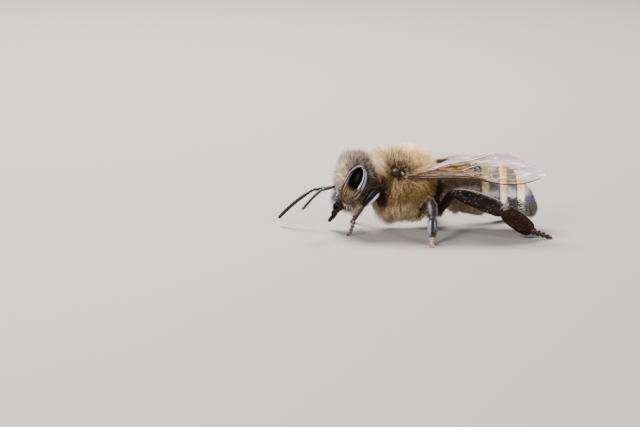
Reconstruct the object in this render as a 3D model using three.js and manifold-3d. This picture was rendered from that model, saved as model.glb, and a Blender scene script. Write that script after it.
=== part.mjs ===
// A worker honey bee, life size, standing still with its wings folded back over the abdomen.
// Millimetres, +Z up, floor at z = 0. The head points to -X and the bee's left side to -Y.
// Every solid reaches out to the tips of its coat of hair; plates meet with a thin clearance.
import * as THREE from "three";
import { mergeVertices } from "three/addons/utils/BufferGeometryUtils.js";
import Module from "manifold-3d";

const wasm = await Module();
wasm.setup();

// Driving dimensions
const GAP = 0.05; // clearance between two neighbouring plates
const MERGE = 1e-4; // vertices closer than this are one
const BLUNTNESS = 0.6; // how far a limb's end stands out, as a share of its radius
const LEFT = -1;
const RIGHT = 1;

const thorax = {
  centre: [-0.62, 0, 2.82],
  halfLength: 2.1,
  halfWidth: 2.1,
  halfHeight: 2.5,
  squareness: 2.5, // 2 is an ellipse, more is boxier
  // [share of the length from -1 to 1, share of the half width or half height]
  waist: [[-1, 0.9], [-0.5, 0.98], [0, 1], [0.55, 0.97], [1, 0.74]],
  belly: [[-1, 1.22], [-0.86, 1.08], [-0.57, 0.98], [-0.2, 0.955], [0.5, 0.952], [1, 0.82]],
  ruff: [[-1, 1.38], [-0.9, 1.32], [-0.8, 1.19], [-0.6, 1.06], [-0.3, 1.01], [0, 1], [1, 1]],
};

const head = {
  centre: [-3.75, 0, 3.1],
  lean: 26.5, // degrees that the crown leans back from upright
  top: 1.84,
  bottom: -2.0,
  squareness: 2.7,
  // [share of the height from -1 to 1, millimetres forward, back or sideways]
  face: [[-1, 0.98], [-0.8, 1.16], [-0.4, 1.14], [0, 1.34], [0.5, 1.4], [1, 1.25]],
  nape: [[-1, 0.95], [-0.5, 1.02], [0, 1.04], [0.6, 0.86], [1, 0.6]],
  cheek: [[-1, 0.95], [-0.8, 1.06], [-0.4, 1.34], [0, 1.58], [0.5, 1.66], [1, 1.5]],
};

const eye = {
  place: { forward: 0.08, up: -0.07, side: 1.44 },
  radii: [0.64, 0.56, 1.28], // fore and aft, sideways, along the face
  turn: 14, // degrees that the front rim turns inwards
  squareness: 2.2,
  bow: 0.12, // how far the top and bottom curve in towards the head
};

// Tubes and pegs: two ends, and [share of the length, radius] along them.
const neck = { from: [-2.95, 0, 2.95], to: [-2.35, 0, 2.95], profile: [[0, 0.5], [1, 0.55]] };
const petiole = {
  from: [1.2, 0, 2.6],
  to: [1.75, 0, 2.6],
  profile: [[0, 0.42], [0.5, 0.38], [1, 0.42]],
};
const mandible = {
  from: [-4.62, 0.5, 1.42],
  to: [-5.08, 0.3, 0.98],
  profile: [[0, 0.28], [0.6, 0.25], [1, 0.22]],
};
const proboscis = {
  from: [-4.6, 0, 1.15],
  to: [-5.32, 0, 0.52],
  profile: [[0, 0.25], [0.5, 0.22], [1, 0.24]],
};
const tegula = { centre: [-1.26, 2.0, 3.88], radii: [0.36, 0.3, 0.28], turn: 0.2 };

const abdomen = {
  front: 1.62,
  back: 7.3,
  axisHeight: 2.59,
  tailDrop: 1.15,
  halfHeight: 1.6,
  halfWidth: 2.0,
  rings: [0, 0.14, 0.405, 0.61, 0.79, 0.925, 1], // where each plate ends, as a share of the length
  lip: 0.04, // each plate's rear edge stands proud of the next
};

const wing = {
  thickness: 0.5,
  roof: 30, // degrees that the plane rises towards the midline
  left: { root: [-0.58, 2.08, 3.69], tip: [7.82, 2.25, 3.86] },
  right: { root: [-0.58, 2.08, 3.62], tip: [7.5, 2.1, 3.52] },
};

const antenna = {
  radius: 0.25,
  arch: 0.07,
  left: { socket: [-4.86, 0.3, 2.78], elbow: [-5.83, 1.2, 2.71], tip: [-6.97, 3.4, 1.99] },
  right: { socket: [-4.85, 0.3, 2.65], elbow: [-6.37, 0.8, 2.3], tip: [-8.48, 1.0, 0.5] },
};

// Joints of one leg, each [x, distance from the midline, z]. The right legs are moved along X by shift.
const legs = {
  front: {
    coxa: [-1.85, 0.55, 2.0],
    trochanter: [-1.85, 0.8, 1.35],
    knee: [-2.39, 1.72, 2.86],
    ankle: [-3.27, 1.92, 1.86],
    heel: [-3.85, 1.96, 0.95],
    toe: [-4.1, 1.93, 0.16],
    widths: { femur: 0.27, tibia: 0.25, basitarsus: 0.25 },
    flat: 1,
    shift: 0.22,
  },
  middle: {
    coxa: [0.0, 0.6, 1.8],
    trochanter: [0.1, 0.95, 0.98],
    knee: [0.78, 2.4, 2.28],
    ankle: [0.88, 3.85, 1.5],
    heel: [0.84, 4.28, 0.38],
    toe: [0.8, 5.15, 0.2],
    widths: { femur: 0.3, tibia: 0.35, basitarsus: 0.31 },
    flat: 0.8,
    shift: -0.12,
  },
  hind: {
    coxa: [0.85, 0.65, 1.9],
    trochanter: [1.35, 1.2, 1.3],
    knee: [2.12, 2.65, 2.84],
    ankle: [5.2, 2.9, 1.74],
    heel: [6.9, 2.92, 0.55],
    toe: [8.03, 2.8, 0.18],
    widths: { femur: 0.37, tibia: 0.49, basitarsus: 0.56 },
    flat: 0.5,
    shift: -1.1,
  },
};
const coxaProfile = [[0, 0.34], [0.5, 0.38], [0.95, 0.28]];
const hindTibia = { flat: 0.58, arch: 0.09 };
const foot = { radius: 0.25, flare: 0.04, padLow: -0.1 };
const shareOfShift = { coxa: 0, trochanter: 0.15, knee: 0.5, ankle: 0.8, heel: 1, toe: 1 };

const colours = {
  fur: 0xb79a68,
  shell: 0x1c1613,
  eye: 0x0b0a0c,
  leg: 0x2a1c15,
  wing: 0xe6dcc6,
  band: 0xcdb98c,
};

// Small tools
const lerp = THREE.MathUtils.lerp;
const radians = THREE.MathUtils.degToRad;

// A smooth curve through [share, value] pairs, read at any share.
function curveOf(pairs) {
  const spline = new THREE.CubicInterpolant(
    pairs.map(([share]) => share),
    pairs.map(([, value]) => value),
    1,
  );
  return (share) => spline.evaluate(THREE.MathUtils.clamp(share, pairs[0][0], pairs.at(-1)[0]))[0];
}

// A closed three.js geometry as a solid, with its faces pointing out.
function solidOf(geometry) {
  const bare = new THREE.BufferGeometry();
  bare.setAttribute("position", geometry.getAttribute("position"));
  bare.setIndex(geometry.index);
  const merged = mergeVertices(bare, MERGE);
  const index = [];
  for (let i = 0; i < merged.index.count; i += 3) {
    const [a, b, c] = [0, 1, 2].map((k) => merged.index.getX(i + k));
    if (a !== b && b !== c && a !== c) index.push(a, b, c);
  }
  if (signedVolume(merged.getAttribute("position"), index) < 0) index.reverse();
  const mesh = new wasm.Mesh({
    numProp: 3,
    vertProperties: new Float32Array(merged.getAttribute("position").array),
    triVerts: new Uint32Array(index),
  });
  return new wasm.Manifold(mesh);
}

function signedVolume(position, index) {
  const corner = [0, 1, 2].map(() => new THREE.Vector3());
  let total = 0;
  for (let i = 0; i < index.length; i += 3) {
    corner.forEach((v, k) => v.fromBufferAttribute(position, index[i + k]));
    total += corner[0].dot(corner[1].clone().cross(corner[2]));
  }
  return total;
}

function geometryOf(solid) {
  const { vertProperties, triVerts } = solid.getMesh();
  const geometry = new THREE.BufferGeometry();
  geometry.setAttribute("position", new THREE.BufferAttribute(new Float32Array(vertProperties), 3));
  geometry.setIndex(new THREE.BufferAttribute(new Uint32Array(triVerts), 1));
  geometry.computeVertexNormals();
  return geometry;
}

const cutBy = (solid, cutters) => cutters.reduce((rest, cutter) => rest.subtract(cutter), solid);

// Moves each vertex of a geometry to where place(vertex) says.
function reshape(geometry, place) {
  const position = geometry.getAttribute("position");
  const v = new THREE.Vector3();
  for (let i = 0; i < position.count; i++) {
    const { x, y, z } = place(v.fromBufferAttribute(position, i));
    position.setXYZ(i, x, y, z);
  }
  return geometry;
}

// A ball whose poles lie along one axis, reshaped: place gets the share along the axis from -1 to 1,
// how wide the ball is there from 0 to 1, and the direction round the axis.
function ball(sides, rings, squareness, place) {
  const sphere = new THREE.SphereGeometry(1, sides, rings);
  return reshape(sphere, (v) => {
    const along = THREE.MathUtils.clamp(v.y, -1, 1);
    const round = Math.hypot(v.x, v.z) || 1;
    const wide = Math.pow(Math.max(0, 1 - Math.abs(along) ** squareness), 1 / squareness);
    return place(along, wide, v.x / round, v.z / round);
  });
}

// A ball with plain radii, centred and turned.
function egg(centre, radii, turn) {
  const matrix = new THREE.Matrix4().compose(
    new THREE.Vector3(...centre),
    new THREE.Quaternion().setFromEuler(new THREE.Euler(0, turn, 0)),
    new THREE.Vector3(...radii),
  );
  return solidOf(new THREE.SphereGeometry(1, 10, 6).applyMatrix4(matrix));
}

// A limb turned on a lathe between two joints. profile is [share, radius] pairs; flat squeezes it
// sideways, which is the direction of across; arch lifts its middle; grow makes it larger all over,
// for cutting its neighbour.
function limb(from, to, profile, { flat = 1, across = [0, 1, 0], arch = 0, grow = 0, sides = 8 } = {}) {
  const start = new THREE.Vector3(...from);
  const axis = new THREE.Vector3(...to).sub(start);
  const length = axis.length();
  const outline = [
    [-profile[0][1] * BLUNTNESS, 0],
    ...profile.map(([share, radius]) => [share * length, radius]),
    [length + profile.at(-1)[1] * BLUNTNESS, 0],
  ];
  const middle = length / 2;
  const points = outline.map(([along, radius]) => {
    const longer = Math.sign(along - middle) * grow * (radius ? 0.5 : 1);
    return new THREE.Vector2(radius && radius + grow, along + longer);
  });
  const up = axis.clone().normalize();
  const squeezed = new THREE.Vector3(...across).projectOnPlane(up).normalize();
  const wide = new THREE.Vector3().crossVectors(up, squeezed);
  const turned = new THREE.LatheGeometry(points, sides);
  return solidOf(
    reshape(turned, (v) => {
      const share = THREE.MathUtils.clamp(v.y / length, 0, 1);
      const point = start.clone().addScaledVector(up, v.y).addScaledVector(wide, v.x);
      point.z += 4 * arch * share * (1 - share);
      return point.addScaledVector(squeezed, v.z * flat);
    }),
  );
}

const sided = ([x, y, z], side, shift = 0) => [x + shift, y * side, z];

// Body
function makeThorax() {
  const [cx, cy, cz] = thorax.centre;
  const [waist, belly, ruff] = [thorax.waist, thorax.belly, thorax.ruff].map(curveOf);
  return solidOf(
    ball(20, 12, thorax.squareness, (along, wide, a, b) => {
      const height = thorax.halfHeight * (b > 0 ? ruff(along) : belly(along));
      return new THREE.Vector3(
        cx + along * thorax.halfLength,
        cy + a * wide * thorax.halfWidth * waist(along),
        cz + b * wide * height,
      );
    }),
  );
}

// Head space: forward out of the face, side to side, and up along the face.
function fromHead(forward, side, up) {
  const lean = radians(head.lean);
  const [x, y, z] = head.centre;
  return new THREE.Vector3(
    x - forward * Math.cos(lean) + up * Math.sin(lean),
    y + side,
    z + forward * Math.sin(lean) + up * Math.cos(lean),
  );
}

function makeHead(grow = 0) {
  const middle = (head.top + head.bottom) / 2;
  const half = (head.top - head.bottom) / 2;
  const [face, nape, cheek] = [head.face, head.nape, head.cheek].map(curveOf);
  return solidOf(
    ball(22, 12, head.squareness, (along, wide, a, b) =>
      fromHead(
        wide * b * ((b > 0 ? face(along) : nape(along)) + grow),
        wide * a * (cheek(along) + grow),
        middle + along * (half + grow),
      ),
    ),
  );
}

function makeEye(side, grow = 0) {
  const { forward, up, side: out } = eye.place;
  const [foreAft, sideways, tall] = eye.radii.map((r) => r + grow);
  const turn = radians(eye.turn) * side;
  return solidOf(
    ball(16, 10, eye.squareness, (along, wide, a, b) => {
      const f = wide * b * foreAft;
      const s = wide * a * sideways;
      return fromHead(
        forward + f * Math.cos(turn) - s * Math.sin(turn),
        side * out - f * Math.sin(turn) + s * Math.cos(turn) - side * eye.bow * along * along,
        up + along * tall,
      );
    }),
  );
}

// A point of the abdomen: share of its length, share of its radius, and the direction round it.
const abdomenGirth = curveOf([
  [0, 0.3], [0.06, 0.62], [0.16, 0.87], [0.32, 0.99], [0.5, 1],
  [0.68, 0.95], [0.83, 0.79], [0.93, 0.56], [1, 0.2],
]);
function abdomenPoint(share, radius, a, b) {
  const tail = Math.max(0, share - 0.55) / 0.45;
  const x = lerp(abdomen.front, abdomen.back, share);
  const z = abdomen.axisHeight - abdomen.tailDrop * tail ** 2;
  const girth = abdomenGirth(share) * radius;
  return new THREE.Vector3(x, a * girth * abdomen.halfWidth, z + b * girth * abdomen.halfHeight);
}

function makeAbdomenPlate(number) {
  const clearance = GAP / 2 / (abdomen.back - abdomen.front);
  const start = abdomen.rings[number - 1] + (number > 1 ? clearance : 0);
  const end = abdomen.rings[number] - (number < abdomen.rings.length - 1 ? clearance : 0);
  const steps = 3;
  const outline = [new THREE.Vector2(0, start)];
  for (let i = 0; i <= steps; i++) {
    const share = lerp(start, end, i / steps);
    outline.push(new THREE.Vector2(1 + abdomen.lip * (i / steps - 1), share));
  }
  outline.push(new THREE.Vector2(0, end));
  const ring = new THREE.LatheGeometry(outline, 22);
  return solidOf(
    reshape(ring, (v) => {
      const radius = Math.hypot(v.x, v.z);
      return abdomenPoint(v.y, radius, v.x / (radius || 1), v.z / (radius || 1));
    }),
  );
}

// Wings
// Outlines in the wing's own plane: share of the span, and millimetres in from the line of root and tip.
const foreOutline = [
  [0, 0.15], [0.06, -0.05], [0.27, -0.04], [0.45, -0.16], [0.6, -0.48], [0.74, -0.68], [0.88, -0.5],
  [0.97, -0.16], [0.99, 0.12], [0.95, 0.44], [0.88, 1.04], [0.79, 1.72], [0.7, 2.05], [0.6, 1.9],
  [0.48, 1.5], [0.35, 1.22], [0.22, 0.86], [0.1, 0.5], [0.02, 0.34],
];
const hindOutline = [
  [0.08, 0.3], [0.2, 0.35], [0.45, 0.6], [0.62, 1.2], [0.67, 1.8], [0.64, 2.04], [0.54, 2.02],
  [0.43, 1.9], [0.33, 1.72], [0.24, 1.22], [0.14, 0.76],
];

function makeWing(outline, word, grow = 0) {
  const side = word === "left" ? LEFT : RIGHT;
  const root = new THREE.Vector3(...sided(wing[word].root, side));
  const along = new THREE.Vector3(...sided(wing[word].tip, side)).sub(root);
  const span = along.length();
  along.normalize();
  const roof = radians(wing.roof);
  const inward = new THREE.Vector3(0, -side * Math.cos(roof), Math.sin(roof));
  inward.addScaledVector(along, -inward.dot(along)).normalize();
  const outward = new THREE.Vector3().crossVectors(along, inward);
  const corners = outline.map(([share, across]) => new THREE.Vector2(share * span, across));
  const curve = new THREE.SplineCurve([...corners, corners[0].clone()]);
  const shape = new THREE.Shape(curve.getPoints(28).slice(0, -1));
  const slab = new THREE.ExtrudeGeometry(shape, {
    depth: wing.thickness,
    bevelEnabled: grow > 0,
    bevelThickness: grow,
    bevelSize: grow,
    bevelSegments: 1,
  });
  slab.translate(0, 0, -wing.thickness / 2);
  const frame = new THREE.Matrix4().makeBasis(along, inward, outward).setPosition(root);
  return solidOf(slab.applyMatrix4(frame));
}

// Legs
function legSegments(kind, side, grow = 0) {
  const leg = legs[kind];
  const shift = side === RIGHT ? leg.shift : 0;
  const [coxa, trochanter, knee, ankle, heel, toe] = Object.entries(shareOfShift).map(
    ([name, share]) => sided(leg[name], side, shift * share),
  );
  const { femur, tibia, basitarsus } = leg.widths;
  const hind = kind === "hind";
  const flat = { flat: leg.flat, across: hind ? [0, 1, 0] : [1, 0, 0], grow };
  const tibiaProfile = hind
    ? [[0, 0.3], [0.16, 0.38], [0.38, 0.46], [0.7, tibia], [0.94, tibia * 0.95]]
    : [[0, 0.27], [0.4, tibia], [0.95, tibia * 0.9]];
  const tibiaFlat = hind ? { ...flat, ...hindTibia } : flat;
  const basiProfile = hind
    ? [[0.03, 0.38], [0.28, basitarsus], [0.7, basitarsus * 0.97], [0.95, 0.42]]
    : [[0.03, 0.26], [0.35, basitarsus], [0.92, 0.26]];
  return {
    coxa: limb(coxa, trochanter, coxaProfile, { grow }),
    femur: limb(trochanter, knee, [[0, 0.26], [0.4, femur], [0.97, 0.26]], { grow }),
    tibia: limb(knee, ankle, tibiaProfile, tibiaFlat),
    basitarsus: limb(ankle, heel, basiProfile, flat),
    tarsus: makeFoot(heel, toe, grow),
  };
}

// The small foot joints, then a pad that stands on the floor.
function makeFoot(heel, toe, grow) {
  const [x, y] = toe;
  const { radius, flare, padLow } = foot;
  const chain = limb(heel, toe, [[0.05, radius], [0.96, radius]], { grow });
  const padProfile = [[0, radius + flare / 2], [0.8, radius + flare]];
  return chain.add(limb([x, y, radius * 0.6], [x, y, padLow], padProfile, { grow }));
}

const floor = solidOf(new THREE.BoxGeometry(30, 30, 4).translate(0, 0, -2));

// Each segment of a leg is cut by the one before it, like a joint in its socket.
function makeLeg(kind, side) {
  const whole = legSegments(kind, side);
  const grown = legSegments(kind, side, GAP);
  const names = Object.keys(whole);
  return names.map((name, i) => {
    const cutters = names.slice(0, i).map((before) => grown[before]);
    return [name, cutBy(whole[name], [...cutters, floor])];
  });
}

// Assembly
const bee = new THREE.Group();

function addMesh(name, solid, colour, roughness = 0.6) {
  const parts = solid.decompose().sort((a, b) => b.volume() - a.volume());
  const material = new THREE.MeshStandardMaterial({ color: colour, roughness, metalness: 0 });
  const mesh = new THREE.Mesh(geometryOf(parts[0]), material);
  mesh.name = name;
  bee.add(mesh);
}

const sides = [["left", LEFT], ["right", RIGHT]];
const furCutters = []; // what passes through the hair of the trunk
const wingCutters = [];
const headCutters = [];

for (const [word, side] of sides) {
  for (const kind of Object.keys(legs)) {
    for (const [name, solid] of makeLeg(kind, side)) {
      addMesh(`leg_${kind}_${word}_${name}`, solid, colours.leg, 0.45);
    }
    const grown = legSegments(kind, side, GAP);
    furCutters.push(grown.coxa, grown.femur, grown.tibia);
    if (kind === "front") headCutters.push(grown.femur, grown.tibia);
  }
}

const tube = ({ from, to, profile }, grow = 0, side = RIGHT) =>
  limb(sided(from, side), sided(to, side), profile, { grow });
const wingScale = (side, grow = 0) =>
  egg(sided(tegula.centre, side), tegula.radii.map((r) => r + grow), tegula.turn);

for (const [word, side] of sides) {
  const { radius, arch, [word]: feeler } = antenna;
  const [socket, elbow, tip] = [feeler.socket, feeler.elbow, feeler.tip].map((at) => sided(at, side));
  const scape = (grow = 0) => limb(socket, elbow, [[0, radius], [1, radius]], { grow });
  const flagellum = limb(elbow, tip, [[0, radius], [0.5, radius], [1, radius * 0.95]], { arch });
  headCutters.push(scape(GAP), makeEye(side, GAP), tube(mandible, GAP, side));
  addMesh(`antenna_${word}_scape`, scape(), colours.shell, 0.4);
  addMesh(`antenna_${word}_flagellum`, cutBy(flagellum, [scape(GAP)]), colours.shell, 0.5);
  addMesh(`eye_${word}`, makeEye(side), colours.eye, 0.15);
  addMesh(`mandible_${word}`, tube(mandible, 0, side), colours.leg, 0.35);
  addMesh(`tegula_${word}`, wingScale(side), colours.shell, 0.3);
  const forewing = makeWing(foreOutline, word);
  const hindwing = cutBy(makeWing(hindOutline, word), [makeWing(foreOutline, word, GAP)]);
  addMesh(`forewing_${word}`, cutBy(forewing, [wingScale(side, GAP)]), colours.wing, 0.25);
  addMesh(`hindwing_${word}`, hindwing, colours.wing, 0.25);
  furCutters.push(wingScale(side, GAP));
  wingCutters.push(makeWing(foreOutline, word, GAP), makeWing(hindOutline, word, GAP));
}

headCutters.push(tube(proboscis, GAP));
const jaws = [LEFT, RIGHT].map((side) => tube(mandible, GAP, side));
addMesh("proboscis", cutBy(tube(proboscis), jaws), colours.leg, 0.5);
addMesh("neck", tube(neck), colours.shell, 0.7);
addMesh("petiole", tube(petiole), colours.shell, 0.7);

const bareHead = cutBy(makeHead(), [...headCutters, tube(neck, GAP)]);
addMesh("head", bareHead, colours.fur, 0.9);
const trunkCutters = [...furCutters, ...wingCutters, tube(neck, GAP), tube(petiole, GAP), makeHead(GAP)];
addMesh("thorax", cutBy(makeThorax(), trunkCutters), colours.fur, 0.95);

for (let number = 1; number < abdomen.rings.length; number++) {
  const plate = makeAbdomenPlate(number);
  const colour = number % 2 ? colours.band : colours.shell;
  const cutters = number === 1 ? [...wingCutters, tube(petiole, GAP), makeThorax()] : wingCutters;
  addMesh(`abdomen_${number}`, cutBy(plate, cutters), colour, 0.5);
}

// The origin is the middle of the floor under the bee.
const middle = new THREE.Box3().setFromObject(bee).getCenter(new THREE.Vector3());
bee.position.set(-middle.x, -middle.y, 0);
export default bee;
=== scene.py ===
import math

import bpy
import numpy as np
from mathutils import Matrix, Vector, kdtree


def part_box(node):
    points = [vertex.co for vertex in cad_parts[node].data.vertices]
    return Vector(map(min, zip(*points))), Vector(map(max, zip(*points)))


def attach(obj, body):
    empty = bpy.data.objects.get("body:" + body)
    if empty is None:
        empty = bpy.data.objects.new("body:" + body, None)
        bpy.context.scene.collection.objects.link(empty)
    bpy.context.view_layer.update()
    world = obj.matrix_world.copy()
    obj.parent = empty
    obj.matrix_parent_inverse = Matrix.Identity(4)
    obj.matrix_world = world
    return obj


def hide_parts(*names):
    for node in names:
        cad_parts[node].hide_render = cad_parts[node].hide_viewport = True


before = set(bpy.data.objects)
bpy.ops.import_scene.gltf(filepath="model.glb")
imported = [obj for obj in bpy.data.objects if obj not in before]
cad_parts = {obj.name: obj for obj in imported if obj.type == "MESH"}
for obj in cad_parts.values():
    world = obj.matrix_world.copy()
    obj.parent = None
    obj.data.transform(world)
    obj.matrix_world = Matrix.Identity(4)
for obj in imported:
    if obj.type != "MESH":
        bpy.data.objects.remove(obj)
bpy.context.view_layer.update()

# The bee is drawn in millimetres, as the solids were, and finishPiece brings it to the frame's metres.
mm = 0.001
left, right = -1, 1
sides = {"left": left, "right": right}
thoraxLow, thoraxHigh = (Vector(corner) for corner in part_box("thorax"))
drawnThoraxMiddle = Vector((-0.6165, 0, 2.8745))
zero = (thoraxLow + thoraxHigh) / 2 - drawnThoraxMiddle * mm
toFrame = Matrix.Translation(zero) @ Matrix.Scale(mm, 4)


# numbers, curves and meshes
def lerp(a, b, share):
    return a + (b - a) * share


def smoothStep(low, high, value):
    share = np.clip((value - low) / (high - low), 0, 1)
    return share * share * (3 - 2 * share)


def curveOf(pairs):
    # a smooth curve through (share, value) pairs, as a function that also takes arrays
    shares, values = np.array(pairs, float).T
    slopes = np.gradient(values, shares)

    def at(share):
        share = np.clip(share, shares[0], shares[-1])
        i = np.clip(np.searchsorted(shares, share) - 1, 0, len(shares) - 2)
        width = shares[i + 1] - shares[i]
        t = (share - shares[i]) / width
        bend = slopes[i] * width * t * (1 - t) ** 2 - slopes[i + 1] * width * t * t * (1 - t)
        return values[i] + (values[i + 1] - values[i]) * t * t * (3 - 2 * t) + bend

    return at


def unit(vectors):
    length = np.linalg.norm(vectors, axis=-1, keepdims=True)
    return vectors / np.maximum(length, 1e-12)


def sided(point, side, shift=0):
    return (point[0] + shift, point[1] * side, point[2])


def activate(*pieces):
    if bpy.context.mode != "OBJECT":
        bpy.ops.object.mode_set(mode="OBJECT")
    bpy.ops.object.select_all(action="DESELECT")
    for piece in pieces:
        piece.select_set(True)
        bpy.context.view_layer.objects.active = pieces[0]


def joined(pieces):
    activate(*pieces)
    if len(pieces) > 1:
        bpy.ops.object.join()
    return bpy.context.view_layer.objects.active


def addModifier(piece, kind, **settings):
    activate(piece)
    modifier = piece.modifiers.new(kind.lower(), kind)
    for key, value in settings.items():
        setattr(modifier, key, value)
    bpy.ops.object.modifier_apply(modifier=modifier.name)


def closeEnds():
    # in edit mode: the open rim gets a face, and every big end face gets a pole
    mesh = bpy.ops.mesh
    mesh.select_all(action="DESELECT")
    mesh.select_non_manifold()
    mesh.edge_face_add()
    mesh.select_all(action="DESELECT")
    mesh.select_face_by_sides(number=4, type="GREATER")
    mesh.poke()
    mesh.select_all(action="SELECT")
    mesh.normals_make_consistent(inside=False)


def turned(stations, around=16, smooth=0):
    # a round is extruded upwards from station to station, given as height, half width, half depth (left out
    # where it is the same), slide x and slide y
    activate()
    bpy.ops.mesh.primitive_circle_add(vertices=around, radius=1, fill_type="NGON")
    piece = bpy.context.object
    bpy.ops.object.mode_set(mode="EDIT")
    was = (0, 1, 1, 0, 0)
    for i, station in enumerate(stations):
        if len(station) == 2:
            station += station[1:]
        now = station + (0,) * (5 - len(station))
        step = (now[3] - was[3], now[4] - was[4], now[0] - was[0])
        if i:
            bpy.ops.mesh.extrude_region_move(TRANSFORM_OT_translate={"value": step})
        else:
            bpy.ops.transform.translate(value=step)
        grown = (now[1] / was[1], now[2] / was[2], 1)
        bpy.ops.transform.resize(value=grown, center_override=(now[3], now[4], now[0]))
        was = now
    closeEnds()
    bpy.ops.object.mode_set(mode="OBJECT")
    if smooth:
        addModifier(piece, "SUBSURF", levels=smooth, render_levels=smooth)
    return piece


def ballOf(radii, place, turn=None, around=32, rings=20):
    # a ball made by hand: added, squeezed, turned and moved
    activate()
    bpy.ops.mesh.primitive_uv_sphere_add(segments=around, ring_count=rings, radius=1)
    piece = bpy.context.object
    bpy.ops.object.mode_set(mode="EDIT")
    bpy.ops.transform.resize(value=radii, center_override=(0, 0, 0))
    bpy.ops.object.mode_set(mode="OBJECT")
    piece.data.transform(Matrix.Translation(Vector(place)) @ (turn or Matrix()).to_4x4())
    return piece


def limb(start, end, stations, wide=(0, 0, 1), around=16, smooth=1):
    # a turned piece from start to end, its heights given as shares of the length, and wide its wide way
    start, way, wide = Vector(start), Vector(end) - Vector(start), Vector(wide)
    piece = turned([(row[0] * way.length,) + tuple(row[1:]) for row in stations], around, smooth)
    up = way.normalized()
    wide = (wide - up * up.dot(wide)).normalized()
    matrix = Matrix((wide, up.cross(wide), up)).transposed().to_4x4()
    matrix.translation = start
    piece.data.transform(matrix)
    return piece


def placesOf(piece):
    places = np.empty(len(piece.data.vertices) * 3)
    piece.data.vertices.foreach_get("co", places)
    return places.reshape(-1, 3)


def shape(piece, move):
    # moves all vertices at once: move takes and gives an array of places
    piece.data.vertices.foreach_set("co", np.asarray(move(placesOf(piece)), float).ravel())
    piece.data.update()
    return piece


def mark(piece, **layers):
    # a number for each vertex, which the materials read by its name
    for name, values in layers.items():
        layer = piece.data.attributes.new(name, "FLOAT", "POINT")
        layer.data.foreach_set("value", np.asarray(values, float))


def finishPiece(piece, name, material, slot, *nodes, angle=60):
    activate(piece)
    piece.name = name
    piece.data.name = name
    piece.data.transform(toFrame)
    piece.data.materials.clear()
    piece.data.materials.append(material)
    if angle:
        bpy.ops.object.shade_smooth_by_angle(angle=math.radians(angle))
    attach(piece, "root")
    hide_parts(*nodes)


# node trees: sums are written as sums, and each node goes into the tree that is being built
building = {}


class Flow:
    # one output of a node
    def __init__(self, socket):
        self.socket = socket

    def __add__(self, other):
        return mathNode("ADD", self, other)

    def __sub__(self, other):
        return mathNode("SUBTRACT", self, other)

    def __rsub__(self, other):
        return mathNode("SUBTRACT", other, self)

    def __mul__(self, other):
        return mathNode("MULTIPLY", self, other)

    def __truediv__(self, other):
        return mathNode("DIVIDE", self, other)

    def __rtruediv__(self, other):
        return mathNode("DIVIDE", other, self)

    def __pow__(self, other):
        return mathNode("POWER", self, other)

    def __abs__(self):
        return mathNode("ABSOLUTE", self, 0.0)


def feed(node, inputs):
    for key, value in inputs.items():
        socket = node.inputs[key]
        if isinstance(value, Flow):
            building["tree"].links.new(value.socket, socket)
        elif isinstance(value, tuple) and socket.type == "RGBA":
            socket.default_value = value + (1,)
        else:
            socket.default_value = value


def allOutputs(kind, inputs, **settings):
    node = building["tree"].nodes.new(kind)
    for key, value in settings.items():
        setattr(node, key, value)
    feed(node, inputs)
    return [Flow(socket) for socket in node.outputs]


def addNode(kind, inputs, output=0, **settings):
    return allOutputs(kind, inputs, **settings)[output]


def mathNode(operation, a, b):
    return addNode("ShaderNodeMath", {0: a, 1: b}, operation=operation)


def ramp(value, low, high):
    return addNode("ShaderNodeMapRange", {0: value, 1: low, 2: high}, interpolation_type="SMOOTHSTEP")


def mixed(share, a, b):
    return addNode("ShaderNodeMix", {0: share, 6: a, 7: b}, output=2, data_type="RGBA")


def noise(place, scale, detail, distortion=0.0):
    return addNode("ShaderNodeTexNoise", {
        "Vector": place, "Scale": scale, "Detail": detail, "Distortion": distortion})


def bumps(height, strength, depth):
    return addNode("ShaderNodeBump", {"Height": height, "Strength": strength, "Distance": depth * mm})


def readMark(name):
    return addNode("ShaderNodeAttribute", {}, output=2, attribute_name=name)


def placeOnBee():
    # the place in the drawing's millimetres
    coordinates = addNode("ShaderNodeTexCoord", {}, output=3)
    return addNode("ShaderNodeMapping", {
        "Vector": coordinates, "Location": tuple(-zero / mm), "Scale": (1 / mm, 1 / mm, 1 / mm)})


def axesOf(place):
    return allOutputs("ShaderNodeSeparateXYZ", {0: place})


def newGroup(name, inputs, outputs):
    # the sockets come with their starting values, where None stands for a place
    tree = bpy.data.node_groups.new(name, "ShaderNodeTree")
    building["tree"] = tree
    kinds = {type(None): "Vector", float: "Float", tuple: "Color"}
    for direction, sockets in (("INPUT", inputs), ("OUTPUT", outputs)):
        for label, value in sockets.items():
            kind = "NodeSocket" + kinds[type(value)]
            socket = tree.interface.new_socket(label, in_out=direction, socket_type=kind)
            if value is not None:
                socket.default_value = value + (1,) if isinstance(value, tuple) else value
    gives = [Flow(socket) for socket in tree.nodes.new("NodeGroupInput").outputs]
    return tree, gives[:len(inputs)], tree.nodes.new("NodeGroupOutput")


def newMaterial(name, settings):
    material = bpy.data.materials.new(name)
    material.use_nodes = True
    building["tree"] = material.node_tree
    surface = material.node_tree.nodes["Principled BSDF"]
    feed(surface, settings)
    return material, surface


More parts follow.
